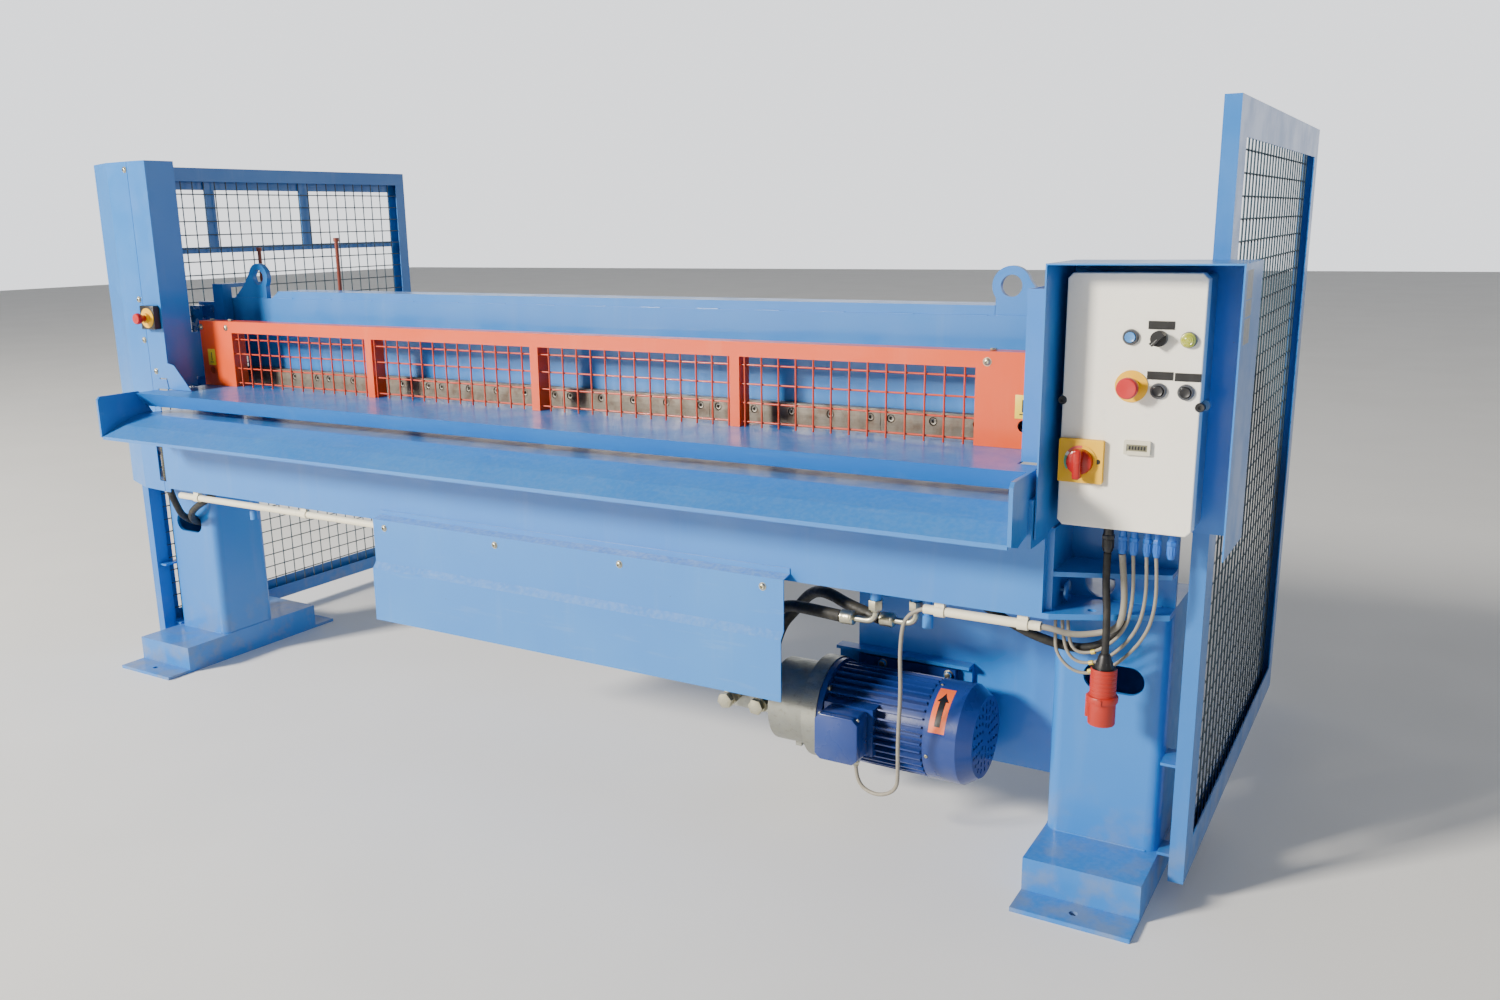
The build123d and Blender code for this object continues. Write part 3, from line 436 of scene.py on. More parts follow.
# Dark red-brown on the rear rods.
RED_BROWN_ROD = Enamel("dark red-brown on rod", "7E3626", "8E4632", dust="B09080")
KNIFE = Steel("ground tool steel with light rust", "8B857A", "6A5040", 0.55, 0.42, metallic=0.75)
BOLT = Steel("burnished screw steel", "9A958C", "4C443C", 0.5, 0.38)
ZINC = Steel("yellowish zinc plate", "C6C2AC", "8F8868", 0.35, 0.3, (1, 1, 1))
ZINC_BLUE = Steel("blue chromated zinc plate", "8CB4D8", "5E88B4", 0.3, 0.25, (1, 1, 1))
ROD = Steel("ground chrome plated rod", "D4D6D8", "A8AAAC", 0.15, 0.12, (1, 1, 0.05), 1.0, 0.05)
BELL = Casting("sand-cast aluminium")
CREAM = Moulding("cream polycarbonate cover", "F4F0E4", "EEE9D8", 0.42, 3.0, 0.03, 0.05)
GREY_BLUE = Moulding("grey-blue enclosure polycarbonate", "6E8CA6", "7C98AE")
BLACK = Moulding("black glass-filled nylon", "1B1B1D", "26262A", 0.3)
CAP_BLUE = Moulding("blue button plastic", "4C8ACB", "6AA4DC", 0.22)
BEZEL = Moulding("grey button bezel plastic", "4A4C50", "5A5C60", 0.26)
RED = Moulding("red emergency stop plastic", "BC1C22", "C62C2C", 0.3)
YELLOW = Moulding("yellow plastic", "F0B800", "F4C210", 0.4)
HANDLE_RED = Moulding("glossy red switch plastic", "A8140E", "B62016", 0.2)
COUNTER = Moulding("cream counter plastic", "D8D2BC", "CCC6B0", 0.4)
GLAND = Moulding("blue gland nylon", "1F66C4", "2F78D0", 0.34)
PLUG_RED = Moulding("red plug nylon", "B02C1E", "BA3826", 0.36)
CONDUIT = Moulding("cream conduit plastic", "F0E8CC", "E6DAB8", 0.4, 4.0, 0.05, 0.22)
TIE = Moulding("yellow tie nylon", "D8C24A", "C8B040", 0.35)
FAN = Moulding("black fan plastic", "202124", "2A2B2E", 0.45)
HOSE = Sheath("black hydraulic hose rubber", "1F1E1B", "4A4638")
SPIRAL = Sheath("olive spiral hose guard", "4A4428", "6E663E")
BLACK_CORD = Sheath("black rubber cord", "1C1B1A", "48443A")
GREY_CORD = Sheath("grey cable plastic", "8E887A", "A8A294", 0.42)
LAMP = Lens("yellow-green lamp lens", "C6CC3A")
LABEL_BLACK = Print("black engraved laminate", "161617", "2A2A2C")
LABEL_YELLOW = Print("yellow label film", "F4D02A", "EAC63A")
LABEL_ORANGE = Print("orange label film", "F0662A", "E87A44")
LABEL_GREY = Print("grey label film", "8A8E90", "9A9EA0")
LABEL_WHITE = Print("white label film", "E8E8E4", "D0D0CC")
LABEL_GREEN = Print("green printed scale", "5CB08A", "74BE9C")
LABEL_RED = Print("red printed scale", "DC5A50", "E47A70")
GLASS_GREY = Moulding("grey counter window", "7C7A64", "8A886E", 0.12)


# --------------------------------------------------------------- pieces

def dress(look: Finish, slot: str, *nodes: str) -> None:
    """Give CAD nodes their finish.

    Args:
        look: Finish of the nodes.
        slot: Record slot, for the log.
        *nodes: CAD node names.
    """
    material = look.material()
    for name in nodes:
        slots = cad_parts[name].data.materials
        slots.clear()
        slots.append(material)
    LOG.info("%s dressed in %s (%s)", ", ".join(nodes), material.name, slot)


# Distance in metres at which points are merged, and in millimetres at which edges count as level
MERGE = 2e-6
LEVEL = 1e-4


class Piece:
    """A mesh that bmesh operators shape in millimetres."""

    def __init__(self, name: str) -> None:
        """Start an empty piece.

        Args:
            name: Object name.
        """
        self.name = name
        self.mesh = bmesh.new()

    def aim(self, verts: list, at: Point, way: Point, spin: float = 0.0) -> None:
        """Turn new points from +Z onto a direction and move them.

        Args:
            verts: Points made about the origin.
            at: Where their origin goes.
            way: Direction that +Z turns to.
            spin: Turn about that direction first, in degrees.
        """
        turn = Vector((0, 0, 1)).rotation_difference(Vector(way)).to_matrix().to_4x4()
        matrix = Matrix.Translation(at) @ turn @ Matrix.Rotation(math.radians(spin), 4, "Z")
        bmesh.ops.transform(self.mesh, matrix=matrix, verts=verts)

    def soften(self, made: list, edges: set, width: float, segments: int = 2) -> list:
        """Bevel edges of new geometry.

        Args:
            made: Points of the new geometry.
            edges: Edges to bevel.
            width: Width of the bevel.
            segments: Steps of the bevel.

        Returns:
            Points of the geometry afterwards.
        """
        out = bmesh.ops.bevel(self.mesh, geom=list(edges), offset=width, segments=segments,
                              affect="EDGES", profile=0.5, material=-1)
        return list({v for v in made if v.is_valid} | set(out["verts"]))

    def box(self, low: Point, high: Point) -> tuple[list, Point]:
        """Add a box about the origin.

        Args:
            low: Lowest corner of where it goes later.
            high: Highest corner of where it goes later.

        Returns:
            Its points, and the centre that it goes to.
        """
        made = bmesh.ops.create_cube(self.mesh, size=1.0)["verts"]
        bmesh.ops.scale(self.mesh, vec=[b - a for a, b in zip(low, high)], verts=made)
        return made, tuple((a + b) / 2 for a, b in zip(low, high))

    def drum(self, at: Point, way: Way, radius: float, length: float, end: float | None = None,
             segments: int = 32, bevel: float = 0.0, spin: float = 0.0) -> None:
        """Add a drum, cone or nut with softened ends.

        Args:
            at: Centre of its first face.
            way: Direction it grows in.
            radius: Radius at the first face.
            length: Length.
            end: Radius at the far face.
            segments: Sides.
            bevel: Width of the softened rims.
            spin: Turn about its axis in degrees.
        """
        end = radius if end is None else end
        made = bmesh.ops.create_cone(self.mesh, cap_ends=True, segments=segments, radius1=radius,
                                     radius2=end, depth=length)["verts"]
        bmesh.ops.translate(self.mesh, vec=(0, 0, length / 2), verts=made)
        if bevel:
            rims = {e for v in made for e in v.link_edges
                    if abs(e.verts[0].co.z - e.verts[1].co.z) < LEVEL}
            made = self.soften(made, rims, bevel)
        self.aim(made, at, way.value, spin)

    def slab(self, low: Point, high: Point, bevel: float = 0.0, segments: int = 2,
             turn: Matrix | None = None) -> None:
        """Add a box with softened edges.

        Args:
            low: Lowest corner.
            high: Highest corner.
            bevel: Width of the softened edges.
            segments: Steps of the softening.
            turn: Extra turn about the box's own centre.
        """
        made, centre = self.box(low, high)
        if bevel:
            made = self.soften(made, {e for v in made for e in v.link_edges}, bevel, segments)
        matrix = Matrix.Translation(centre) @ (turn or Matrix.Identity(4))
        bmesh.ops.transform(self.mesh, matrix=matrix, verts=made)

    def lid(self, low: Point, high: Point, cut: float, bevel: float) -> None:
        """Add a lid that faces the front, its corners cut for the screws.

        Args:
            low: Lowest corner.
            high: Highest corner.
            cut: Width of the cut corners.
            bevel: Width of the softened edges.
        """
        made, centre = self.box(low, high)
        posts = {e for v in made for e in v.link_edges
                 if abs(e.verts[0].co.y - e.verts[1].co.y) > LEVEL}
        made = self.soften(made, posts, cut, 1)
        made = self.soften(made, {e for v in made for e in v.link_edges}, bevel)
        bmesh.ops.translate(self.mesh, vec=centre, verts=made)

    def turned(self, profile: list[tuple[float, float]], at: Point, way: Way, segments: int = 40,
               angle: float = 360.0, start: float = 0.0) -> None:
        """Spin a profile into a turned part.

        Args:
            profile: Radius and height pairs.
            at: Origin of the profile.
            way: Direction of its height.
            segments: Steps of the spin.
            angle: Angle turned through in degrees.
            start: Angle of the first section in degrees.
        """
        verts = [self.mesh.verts.new((radius, 0, height)) for radius, height in profile]
        edges = [self.mesh.edges.new(pair) for pair in zip(verts, verts[1:])]
        known = set(self.mesh.verts) - set(verts)
        bmesh.ops.spin(self.mesh, geom=verts + edges, cent=(0, 0, 0), axis=(0, 0, 1),
                       angle=math.radians(angle), steps=segments, use_merge=angle == 360.0)
        made = [v for v in self.mesh.verts if v not in known]
        self.aim(made, at, way.value, start)

    def bead(self, start: Point, end: Point, radius: float, pitch: float = 5.0) -> None:
        """Lay a rippled weld bead along a straight seam.

        Args:
            start: First point.
            end: Last point.
            radius: Half width of the bead.
            pitch: Length of a ripple.
        """
        run = Vector(end) - Vector(start)
        count = max(2, int(run.length / pitch))
        made = bmesh.ops.create_circle(self.mesh, cap_ends=True, segments=8, radius=radius * 0.7)["verts"]
        self.aim(made, start, tuple(run.normalized()))
        face = made[0].link_faces[0]
        for i in range(count):
            out = bmesh.ops.extrude_discrete_faces(self.mesh, faces=[face])["faces"]
            face = out[0]
            grow = (1.3, 1.3, 1.3) if i % 2 == 0 else (0.77, 0.77, 0.77)
            bmesh.ops.translate(self.mesh, vec=run / count, verts=face.verts)
            centre = face.calc_center_median()
            bmesh.ops.scale(self.mesh, vec=grow, verts=face.verts, space=Matrix.Translation(-centre))

    def screw(self, at: Point, way: Way, radius: float, height: float) -> None:
        """Add a button head screw with its socket.

        Args:
            at: Centre of its seat.
            way: Direction of its head.
            radius: Radius of the head.
            height: Height of the head.
        """
        profile = [(0, height * 0.35), (radius * 0.42, height * 0.35), (radius * 0.45, height * 0.96),
                   (radius * 0.7, height * 0.86), (radius * 0.93, height * 0.5), (radius, height * 0.12),
                   (radius, 0)]
        self.turned(profile, at, way, 24)

    def nut(self, at: Point, way: Way, across: float, height: float, spin: float = 0.0) -> None:
        """Add a hexagon nut or head with softened corners.

        Args:
            at: Centre of its seat.
            way: Direction it grows in.
            across: Width across flats.
            height: Height.
            spin: Turn about its axis in degrees.
        """
        self.drum(at, way, across / math.sqrt(3), height, segments=6, bevel=min(1.2, height / 4), spin=spin)

    def finish(self, look: Finish, body: str = "frame", replaces: tuple[str, ...] = (),
               angle: float = 32.0) -> None:
        """Turn the mesh into an object that rides on a body.

        Args:
            look: Finish of the piece.
            body: CAD body it moves with.
            replaces: CAD nodes that it stands for.
            angle: Steepest smooth edge in degrees.
        """
        bmesh.ops.scale(self.mesh, vec=(0.001,) * 3, verts=self.mesh.verts)
        bmesh.ops.remove_doubles(self.mesh, verts=self.mesh.verts, dist=MERGE)
        bmesh.ops.recalc_face_normals(self.mesh, faces=self.mesh.faces)
        data = bpy.data.meshes.new(self.name)
        self.mesh.to_mesh(data)
        self.mesh.free()
        data.shade_smooth()
        data.set_sharp_from_angle(angle=math.radians(angle))
        data.materials.append(look.material())
        piece = bpy.data.objects.new(self.name, data)
        bpy.context.scene.collection.objects.link(piece)
        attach(piece, body)
        if replaces:
            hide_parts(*replaces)
        LOG.info("%s: %d faces", self.name, len(data.polygons))


@dataclass(frozen=True)
class Route:
    """Way of a cord or hose, in millimetres, and how it is made."""

    name: str
    points: tuple[Point, ...]
    radius: float
    look: Sheath
    stiffness: str = "medium"
    far_end: str = "object"

    def curve(self, name: str, scale: float, steps: int) -> bpy.types.Curve:
        """Run one smooth curve along the points.

        Args:
            name: Curve name.
            scale: Curve units per millimetre.
            steps: Steps between points.

        Returns:
            The curve.
        """
        data = bpy.data.curves.new(name, "CURVE")
        data.dimensions = "3D"
        line = data.splines.new("NURBS")
        line.points.add(len(self.points) - 1)
        for knot, point in zip(line.points, self.points):
            knot.co = (point[0] * scale, point[1] * scale, point[2] * scale, 1.0)
        line.order_u = 3
        line.use_endpoint_u = True
        line.resolution_u = steps
        return data

    def lay(self, slot: str, length: float, replaces: tuple[str, ...] = (),
            with_pieces: tuple[bpy.types.Object, ...] = ()) -> None:
        """Make the cord as one smooth curve.

        Args:
            slot: Not used.
            length: Real length in millimetres.
            replaces: CAD nodes that it stands for.
            with_pieces: Not used.
        """
        data = self.curve(self.name, 0.001, 12)
        data.bevel_depth = self.radius / 1000
        data.bevel_resolution = 6
        data.use_fill_caps = True
        data.materials.append(self.look.material())
        piece = bpy.data.objects.new(self.name, data)
        bpy.context.scene.collection.objects.link(piece)
        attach(piece, "frame")
        if replaces:
            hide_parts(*replaces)
        LOG.info("%s laid, %.0f mm", self.name, length)

    def line(self) -> list[Vector]:
        """Read the smooth centreline of the route in millimetres."""
        holder = bpy.data.objects.new(self.name + "_line", self.curve(self.name + "_line", 1.0, 24))
        mesh = bpy.data.meshes.new_from_object(holder)
        path = [vertex.co.copy() for vertex in mesh.vertices]
        bpy.data.objects.remove(holder)
        return path


# ------------------------------------------------------------ the machine

@dataclass
class Stands:
    """Feet, legs, fixed beam and end brackets."""

    foot_x: float = 1505.0
    foot_top: float = 84.0
    leg_half_x: float = 120.0
    leg_front: float = -110.0
    leg_rear: float = 90.0
    beam_bottom: float = 615.0
    bend: float = 24.0
    bracket_front: float = -102.0
    bracket_seams: tuple[float, float] = (627.5, 709.5)
    stop_at: Point = (1412.0, -168.0, 656.0)

    def build(self) -> None:
        """Dress the frame and lay its weld seams."""
        dress(BLUE, "machine_blue", "stand_left", "stand_right", "lower_beam", "end_brackets", "back_panel",
              "oil_tank", "motor_mount")
        # The guide columns take the machine blue made darker, as painted shade for the shadow inside the
        # housings; the dust on it is real.
        dress(Enamel("machine blue darkened as painted housing shade", "2068B4", "2C78C0", dust_and_sheen=0.15), "guide_paint",
              "guide_columns")
        self.weld_legs()
        self.stop_screws()

    def weld_legs(self) -> None:
        """Fillet welds round the foot of each leg and under the beam."""
        welds = Piece("leg_welds")
        for side in (-1, 1):
            x0, x1 = (side * self.foot_x + edge * (self.leg_half_x - self.bend) for edge in (-1, 1))
            seam = self.foot_top + 1
            for z in (seam, self.beam_bottom - 2):
                welds.bead((x0, self.leg_front, z), (x1, self.leg_front, z), 3.2)
            y0, y1 = self.leg_front + self.bend + 2, self.leg_rear - self.bend - 2
            for x in (side * self.foot_x - self.leg_half_x, side * self.foot_x + self.leg_half_x):
                welds.bead((x, y0, seam), (x, y1, seam), 3.2)
        for side in (-1, 1):
            for z in self.bracket_seams:
                welds.bead((side * 1425, self.bracket_front, z), (side * 1600, self.bracket_front, z), 2.6)
        welds.finish(BLUE, angle=60)

    def stop_screws(self) -> None:
        """Domed stop screws on the inner walls of the brackets."""
        screws = Piece("stop_screw_heads")
        profile = [(0, 20), (14, 19.4), (21, 17.5), (24.3, 15.5), (24.3, 12), (22, 10.5), (12, 7.5),
                   (7, 6), (5, 4), (5, 0)]
        x, y, z = self.stop_at
        for side, way in ((-1, Way.LEFT), (1, Way.RIGHT)):
            screws.turned(profile, (side * x, y, z), way, 40)
        screws.finish(ZINC_BLUE, replaces=("stop_screws",))


@dataclass
class ShearUnit:
    """Moving beam, blades and cylinders."""

    bolt_z: float = 958.0
    bolt_pitch: float = 103.5
    cap_z: float = 1197.0
    section_edges: tuple[float, ...] = (-1302.0, -931.0, -465.5, 0.0, 465.5, 931.0, 1302.0)
    end_margin: float = 25.5

    def bolt_positions(self) -> list[float]:
        """List the X positions of the blade bolts: four in a short end section, five in the others."""
        marks = []
        for left, right in zip(self.section_edges, self.section_edges[1:]):
            start = (left + right) / 2 - 2 * self.bolt_pitch
            count = 5
            if right - left < 400:
                count = 4
                start = left + self.end_margin if left > 0 else right - self.end_margin - 3 * self.bolt_pitch
            marks += [start + i * self.bolt_pitch for i in range(count)]
        return marks

    def build(self) -> None:
        """Dress the CAD nodes and add welds and bolts."""
        dress(BLUE, "machine_blue", "knife_beam")
        dress(KNIFE, "knife_steel", "upper_blade", "lower_blade")
        dress(ROD, "rod_chrome", "piston_rods")
        dress(Enamel("blue cylinder enamel", "1E5CA4", "2A6CB4"), "cylinder_paint", "cylinders")
        dress(RED_BROWN_ROD, "rod_redbrown", "rear_rods")
        self.blade_bolts()
        self.welds()

    def blade_bolts(self) -> None:
        """Socket head screws in the counterbores of the moving blade."""
        bolts = Piece("blade_screws")
        for x in self.bolt_positions():
            bolts.turned([(0, 4.5), (4.2, 4.5), (4.4, 9.6), (7.4, 10), (8.4, 9.2), (8.4, 0), (5, 0),
                          (5, -13)], (x, 12, self.bolt_z), Way.FRONT, 24)
        bolts.finish(BOLT, "knife", ("blade_bolts",))

    def welds(self) -> None:
        """Stitch welds under the cap and at the lifting eyes."""
        welds = Piece("beam_welds")
        for i in range(14):
            x = -1130 + i * 172
            welds.bead((x, 27.5, self.cap_z), (x + 64, 27.5, self.cap_z), 2.4, 4)
        for side in (-1, 1):
            for y in (28, 46):
                welds.bead((side * 1190, y, self.cap_z), (side * 1335, y, self.cap_z), 3)
        welds.finish(BLUE, "knife", angle=60)


@dataclass
class Infeed:
    """Shelf and upper sheet of the infeed funnel."""

    rib_x: tuple[float, ...] = (-1000.0, 0.0, 1000.0)

    def build(self) -> None:
        """Dress both sheets and weld the ribs."""
        dress(SHELF_BLUE, "machine_blue", "funnel_upper", "funnel_lower")
        welds = Piece("shelf_welds")
        for x in self.rib_x:
            for edge in (-6, 6):
                welds.bead((x + edge, -254, 754), (x + edge, -254, 850), 2.4)
        welds.finish(BLUE, angle=60)


@dataclass
class BladeGuard:
    """Orange wire guard in front of the moving blade."""

    front: float = -112.0
    label_x: float = 1300.0

    def build(self) -> None:
        """Dress the guard and add its labels and wire welds."""
        dress(ORANGE, "guard_orange", "guard_frame")
        dress(WIRE_RED, "guard_wire", "guard_mesh")
        self.labels()
        self.welds()

    def labels(self) -> None:
        """Yellow blank labels with a plain bar."""
        film = Piece("guard_labels")
        bars = Piece("guard_label_bars")
        for side in (-1, 1):
            x = side * self.label_x
            film.slab((x - 17, self.front - 0.6, 996), (x + 17, self.front - 0.1, 1046), 0.2)
            bars.slab((x - 2, self.front - 0.9, 1010), (x + 2, self.front - 0.55, 1036))
            bars.slab((x - 7, self.front - 0.9, 1004), (x + 7, self.front - 0.55, 1006.5))
        film.finish(LABEL_YELLOW)
        bars.finish(LABEL_BLACK)

    def welds(self) -> None:
        """Small welds where the wires meet the frame."""
        welds = Piece("guard_wire_welds")
        for z in (1079, 1034, 989, 944):
            for x in (-1192, -618.5, -591.5, -13.5, 13.5, 591.5, 618.5, 1192):
                made = bmesh.ops.create_icosphere(welds.mesh, subdivisions=1, radius=3.4)["verts"]
                bmesh.ops.translate(welds.mesh, vec=(x, -101.5, z), verts=made)
        welds.finish(WIRE_RED)


@dataclass
class Fences:
    """Side guards left and right."""

    def build(self) -> None:
        """Dress the frames and their wires."""
        dress(FENCE_BLUE, "machine_blue", "side_guard_left", "side_guard_right")
        dress(WIRE_DARK, "side_wire", "side_meshes")


@dataclass
class Housings:
    """Covers of the left column with its emergency stop, and cover screws."""

    stop_at: Point = (-1383.0, -263.0, 1152.0)

    def build(self) -> None:
        """Dress the covers and build the stop and the screws."""
        dress(BLUE, "machine_blue", "housing_front", "housing_sides")
        dress(BLACK, "black_plastic", "estop_box")
        self.screws()
        self.box_lid()

    def screws(self) -> None:
        """Button head screws of all covers."""
        heads = Piece("cover_screws")
        marks = [(-1338, -112, 1114), (-1219, -112, 1114), (1220, -112, 1112), (-413, -286.5, 604),
                 (-17, -286.5, 604), (377, -286.5, 604), (773, -286.5, 604), (-1440, -242.5, 1593),
                 (-1442, -242.5, 1081), (-1400, -243.5, 986), (-1445, -242.5, 1206)]
        for mark in marks:
            heads.screw(mark, Way.FRONT, 8, 5)
            heads.drum(mark, Way.FRONT, 9.5, 0.9, segments=24)
        for x in (-1310, -1225, 1225, 1310):
            heads.nut((x, -88, 1134), Way.UP, 13, 5)
        heads.finish(ZINC, replaces=("cover_bolts",))

    def box_lid(self) -> None:
        """Lid line and screws of the small stop box."""
        lid = Piece("stop_box_lid")
        x, y, z = self.stop_at
        lid.slab((x - 33, -264.2, z - 34.5), (x + 32.5, -262.6, z + 36.5), 0.7)
        for dx in (-28, 27.5):
            for dz in (-29, 31):
                lid.drum((x + dx, -264.2, z + dz), Way.FRONT, 2.6, 0.9, segments=16, bevel=0.3)
        lid.finish(BLACK)


@dataclass
class PowerPack:
    """Cover, tank, pump, motor and hydraulic lines under the beam."""

    axis_y: float = -42.0
    axis_z: float = 240.0
    beam_bottom: float = 615.0
    label_x: float = 1124.0
    fitting_z: float = 239.0

    def build(self) -> None:
        """Build every part of the power pack."""
        dress(LEDGE_BLUE, "machine_blue", "lower_cover")
        dress(BELL, "cast_aluminium", "bellhousing")
        dress(DARK_BLUE, "motor_blue", "motor_body", "motor_cowl")
        dress(FAN, "rotor_plastic", "motor_rotor")
        self.flange()
        self.terminal_box()
        self.label()
        self.unions()
        self.pump_fittings()
        self.hoses()

    def round(self, radius: float, degrees: float) -> tuple[float, float]:
        """Find a point round the motor axis, counted from the front.

        Args:
            radius: Distance from the axis.
            degrees: Angle above the front.

        Returns:
            Its Y and Z.
        """
        angle = math.radians(degrees)
        return (self.axis_y - radius * math.cos(angle), self.axis_z + radius * math.sin(angle))

    def flange(self) -> None:
        """Hexagon bolts of the motor flange, the cowl screws and the foot bolts."""
        bolts = Piece("motor_bolts")
        for degrees in (45, 135, 225, 315):
            y, z = self.round(112, degrees)
            bolts.nut((860, y, z), Way.RIGHT, 13, 6, 20)
            y, z = self.round(118, degrees - 57)
            bolts.screw((1122, y, z), Way.FRONT if degrees < 90 or degrees > 270 else Way.REAR, 4.6, 3)
        for z in (142, 338):
            for x in (925, 1095):
                bolts.drum((x, 50, z), Way.FRONT, 12, 1.6, bevel=0.4)
                bolts.nut((x, 48.4, z), Way.FRONT, 15, 8, 10)
        bolts.finish(ZINC)

    def terminal_box(self) -> None:
        """Terminal box with a proud lid, screws and the lead gland."""
        box = Piece("terminal_box_body")
        box.slab((880, -214, 190), (980, -162, 299), 8, 3)
        box.lid((876, -232, 188), (984, -210, 300), 13, 2.5)
        box.finish(DARK_BLUE, replaces=("terminal_box",))
        gland = Piece("terminal_gland")
        gland.nut((966, -195, 190), Way.DOWN, 17, 6)
        gland.drum((966, -195, 184), Way.DOWN, 8.6, 8, 7, bevel=1.2)
        gland.turned([(7, 0), (6.4, 2.2), (5, 3.4), (4.6, 3.4)], (966, -195, 176), Way.DOWN, 24)
        for x in (882, 978):
            for z in (194, 294):
                gland.screw((x, -214, z), Way.FRONT, 4.4, 4)
        gland.finish(ZINC)

    def band(self, piece: Piece, radius: float, reach: tuple[float, float], low: float, sweep: float,
             steps: int) -> None:
        """Wrap a strip round the motor axis.

        Args:
            piece: Piece that takes the strip.
            radius: Radius of the strip.
            reach: First and last X, counted from the label's edge.
            low: Angle of its lower edge above the front, in degrees.
            sweep: Angle that it covers, in degrees.
            steps: Steps of the wrap.
        """
        profile = [(radius, reach[0]), (radius, reach[1])]
        # A turned part towards +X starts below the axis and runs away from the front
        start = -(low + 90 + sweep)
        piece.turned(profile, (self.label_x, self.axis_y, self.axis_z), Way.RIGHT, steps, sweep, start)

    def label(self) -> None:
        """Orange label with a plain arrow wrapped round the cowl."""
        film = Piece("turn_label")
        self.band(film, 118.25, (0, 38), 17, 56, 20)
        film.finish(LABEL_ORANGE)
        arrow = Piece("turn_arrow")
        self.band(arrow, 118.6, (12, 26), 24, 30, 16)
        tip = [arrow.mesh.verts.new((self.label_x + dx, *self.round(118.6, degrees)))
               for dx, degrees in ((5, 53.5), (33, 53.5), (24, 60), (19, 66), (14, 60))]
        arrow.mesh.faces.new(tip)
        arrow.finish(LABEL_BLACK)

    def unions(self) -> None:
        """Nuts, bent pipes and crimped ends of the two pump hoses."""
        nuts = Piece("hose_unions")
        bosses = Piece("union_bosses")
        for x, y, z in ((1010, -195, 531), (1092, -160, 528)):
            bosses.drum((x, y, self.beam_bottom), Way.DOWN, 12, 33, bevel=0.6)
            nuts.nut((x, y, 582), Way.DOWN, 29, 22, 12)
            nuts.drum((x, y, 560), Way.DOWN, 13, 6, 9, bevel=0.6)
            self.elbow(nuts, x, y, z)
            nuts.turned([(8, 0), (15, 1.5), (16.6, 5), (15.7, 8), (16.6, 11), (15.7, 15), (16.6, 19),
                         (15.7, 23), (16.6, 27), (16.4, 32), (14.4, 34), (14.2, 33)],
                        (x - 50, y, z), Way.LEFT, 32)
        bosses.finish(BLUE)
        nuts.finish(ZINC, replaces=("hydraulic_fittings",))

    def elbow(self, nuts: Piece, x: float, y: float, z: float) -> None:
        """Bend a pipe from downwards to the left.

        Args:
            nuts: Piece that takes the pipe.
            x: X of its vertical leg.
            y: Y of the pipe.
            z: Z of its level leg.
        """
        radius, bend = 7.5, 22
        ring = bmesh.ops.create_circle(nuts.mesh, segments=20, radius=radius)["verts"]
        bmesh.ops.translate(nuts.mesh, vec=(x, y, z + bend), verts=ring)
        edges = list({e for v in ring for e in v.link_edges})
        bmesh.ops.spin(nuts.mesh, geom=ring + edges, cent=(x - bend, y, z + bend), axis=(0, 1, 0),
                       angle=math.radians(90), steps=8)
        nuts.drum((x, y, z + bend + 12), Way.DOWN, radius, 12)
        nuts.drum((x - bend, y, z), Way.LEFT, radius, 30)

    def pump_fittings(self) -> None:
        """Row of union nuts that shows below the cover."""
        row = Piece("pump_unions")
        for i, x in enumerate((580, 668)):
            for y, radius, length, bevel in ((-80, 13, 22, 0), (-97, 15.5, 8, 0.8), (-120, 16, 8, 0.8)):
                row.drum((x, y, self.fitting_z), Way.FRONT, radius, length, bevel=bevel)
            for y, across, height, spin in ((-82, 30, 14, 8 + 19 * i), (-104, 38, 18, 20 + 23 * i),
                                            (-127, 36, 15, 42 - 17 * i)):
                row.nut((x, y, self.fitting_z), Way.FRONT, across, height, spin)
        row.finish(ZINC)

    def hoses(self) -> None:
        """Hoses from pump and cylinders, as smooth curves."""
        routes = (
            Route("pump_hose_1", ((924.6, -195, 531), (850, -190, 534), (760, -150, 522), (690, -110, 470),
                  (640, -60, 400), (616, -42, 304.5)), 14, HOSE),
            Route("pump_hose_2", ((1004.8, -160, 528), (930, -150, 541), (850, -108, 554), (780, -50, 530),
                  (720, -10, 470), (660, -8, 400), (642, -5, 303)), 14, HOSE),
            Route("housing_hose", ((-1432, -227.5, 850), (-1432, -227.5, 770), (-1433, -227, 690),
                  (-1438, -225, 612), (-1460, -190, 545), (-1492, -145, 485), (-1514, -85, 456)), 11, HOSE),
            Route("left_hose", ((-1250, -190, 605), (-1300, -190, 573), (-1362, -184, 545),
                  (-1420, -168, 512), (-1460.6, -130, 472), (-1474.6, -85, 457)), 11, HOSE),
            Route("right_hose", ((1255, -190, 605.6), (1318, -186, 570), (1390, -171, 540),
                  (1462, -156, 528), (1518, -148, 555), (1540, -148, 611)), 10, HOSE))
        for route, length in zip(routes, (464.8, 539.8, 465.8, 311.9, 344.4)):
            route.lay("hose_rubber", length)
        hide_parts("hydraulic_hoses")
        self.spiral(routes[2])

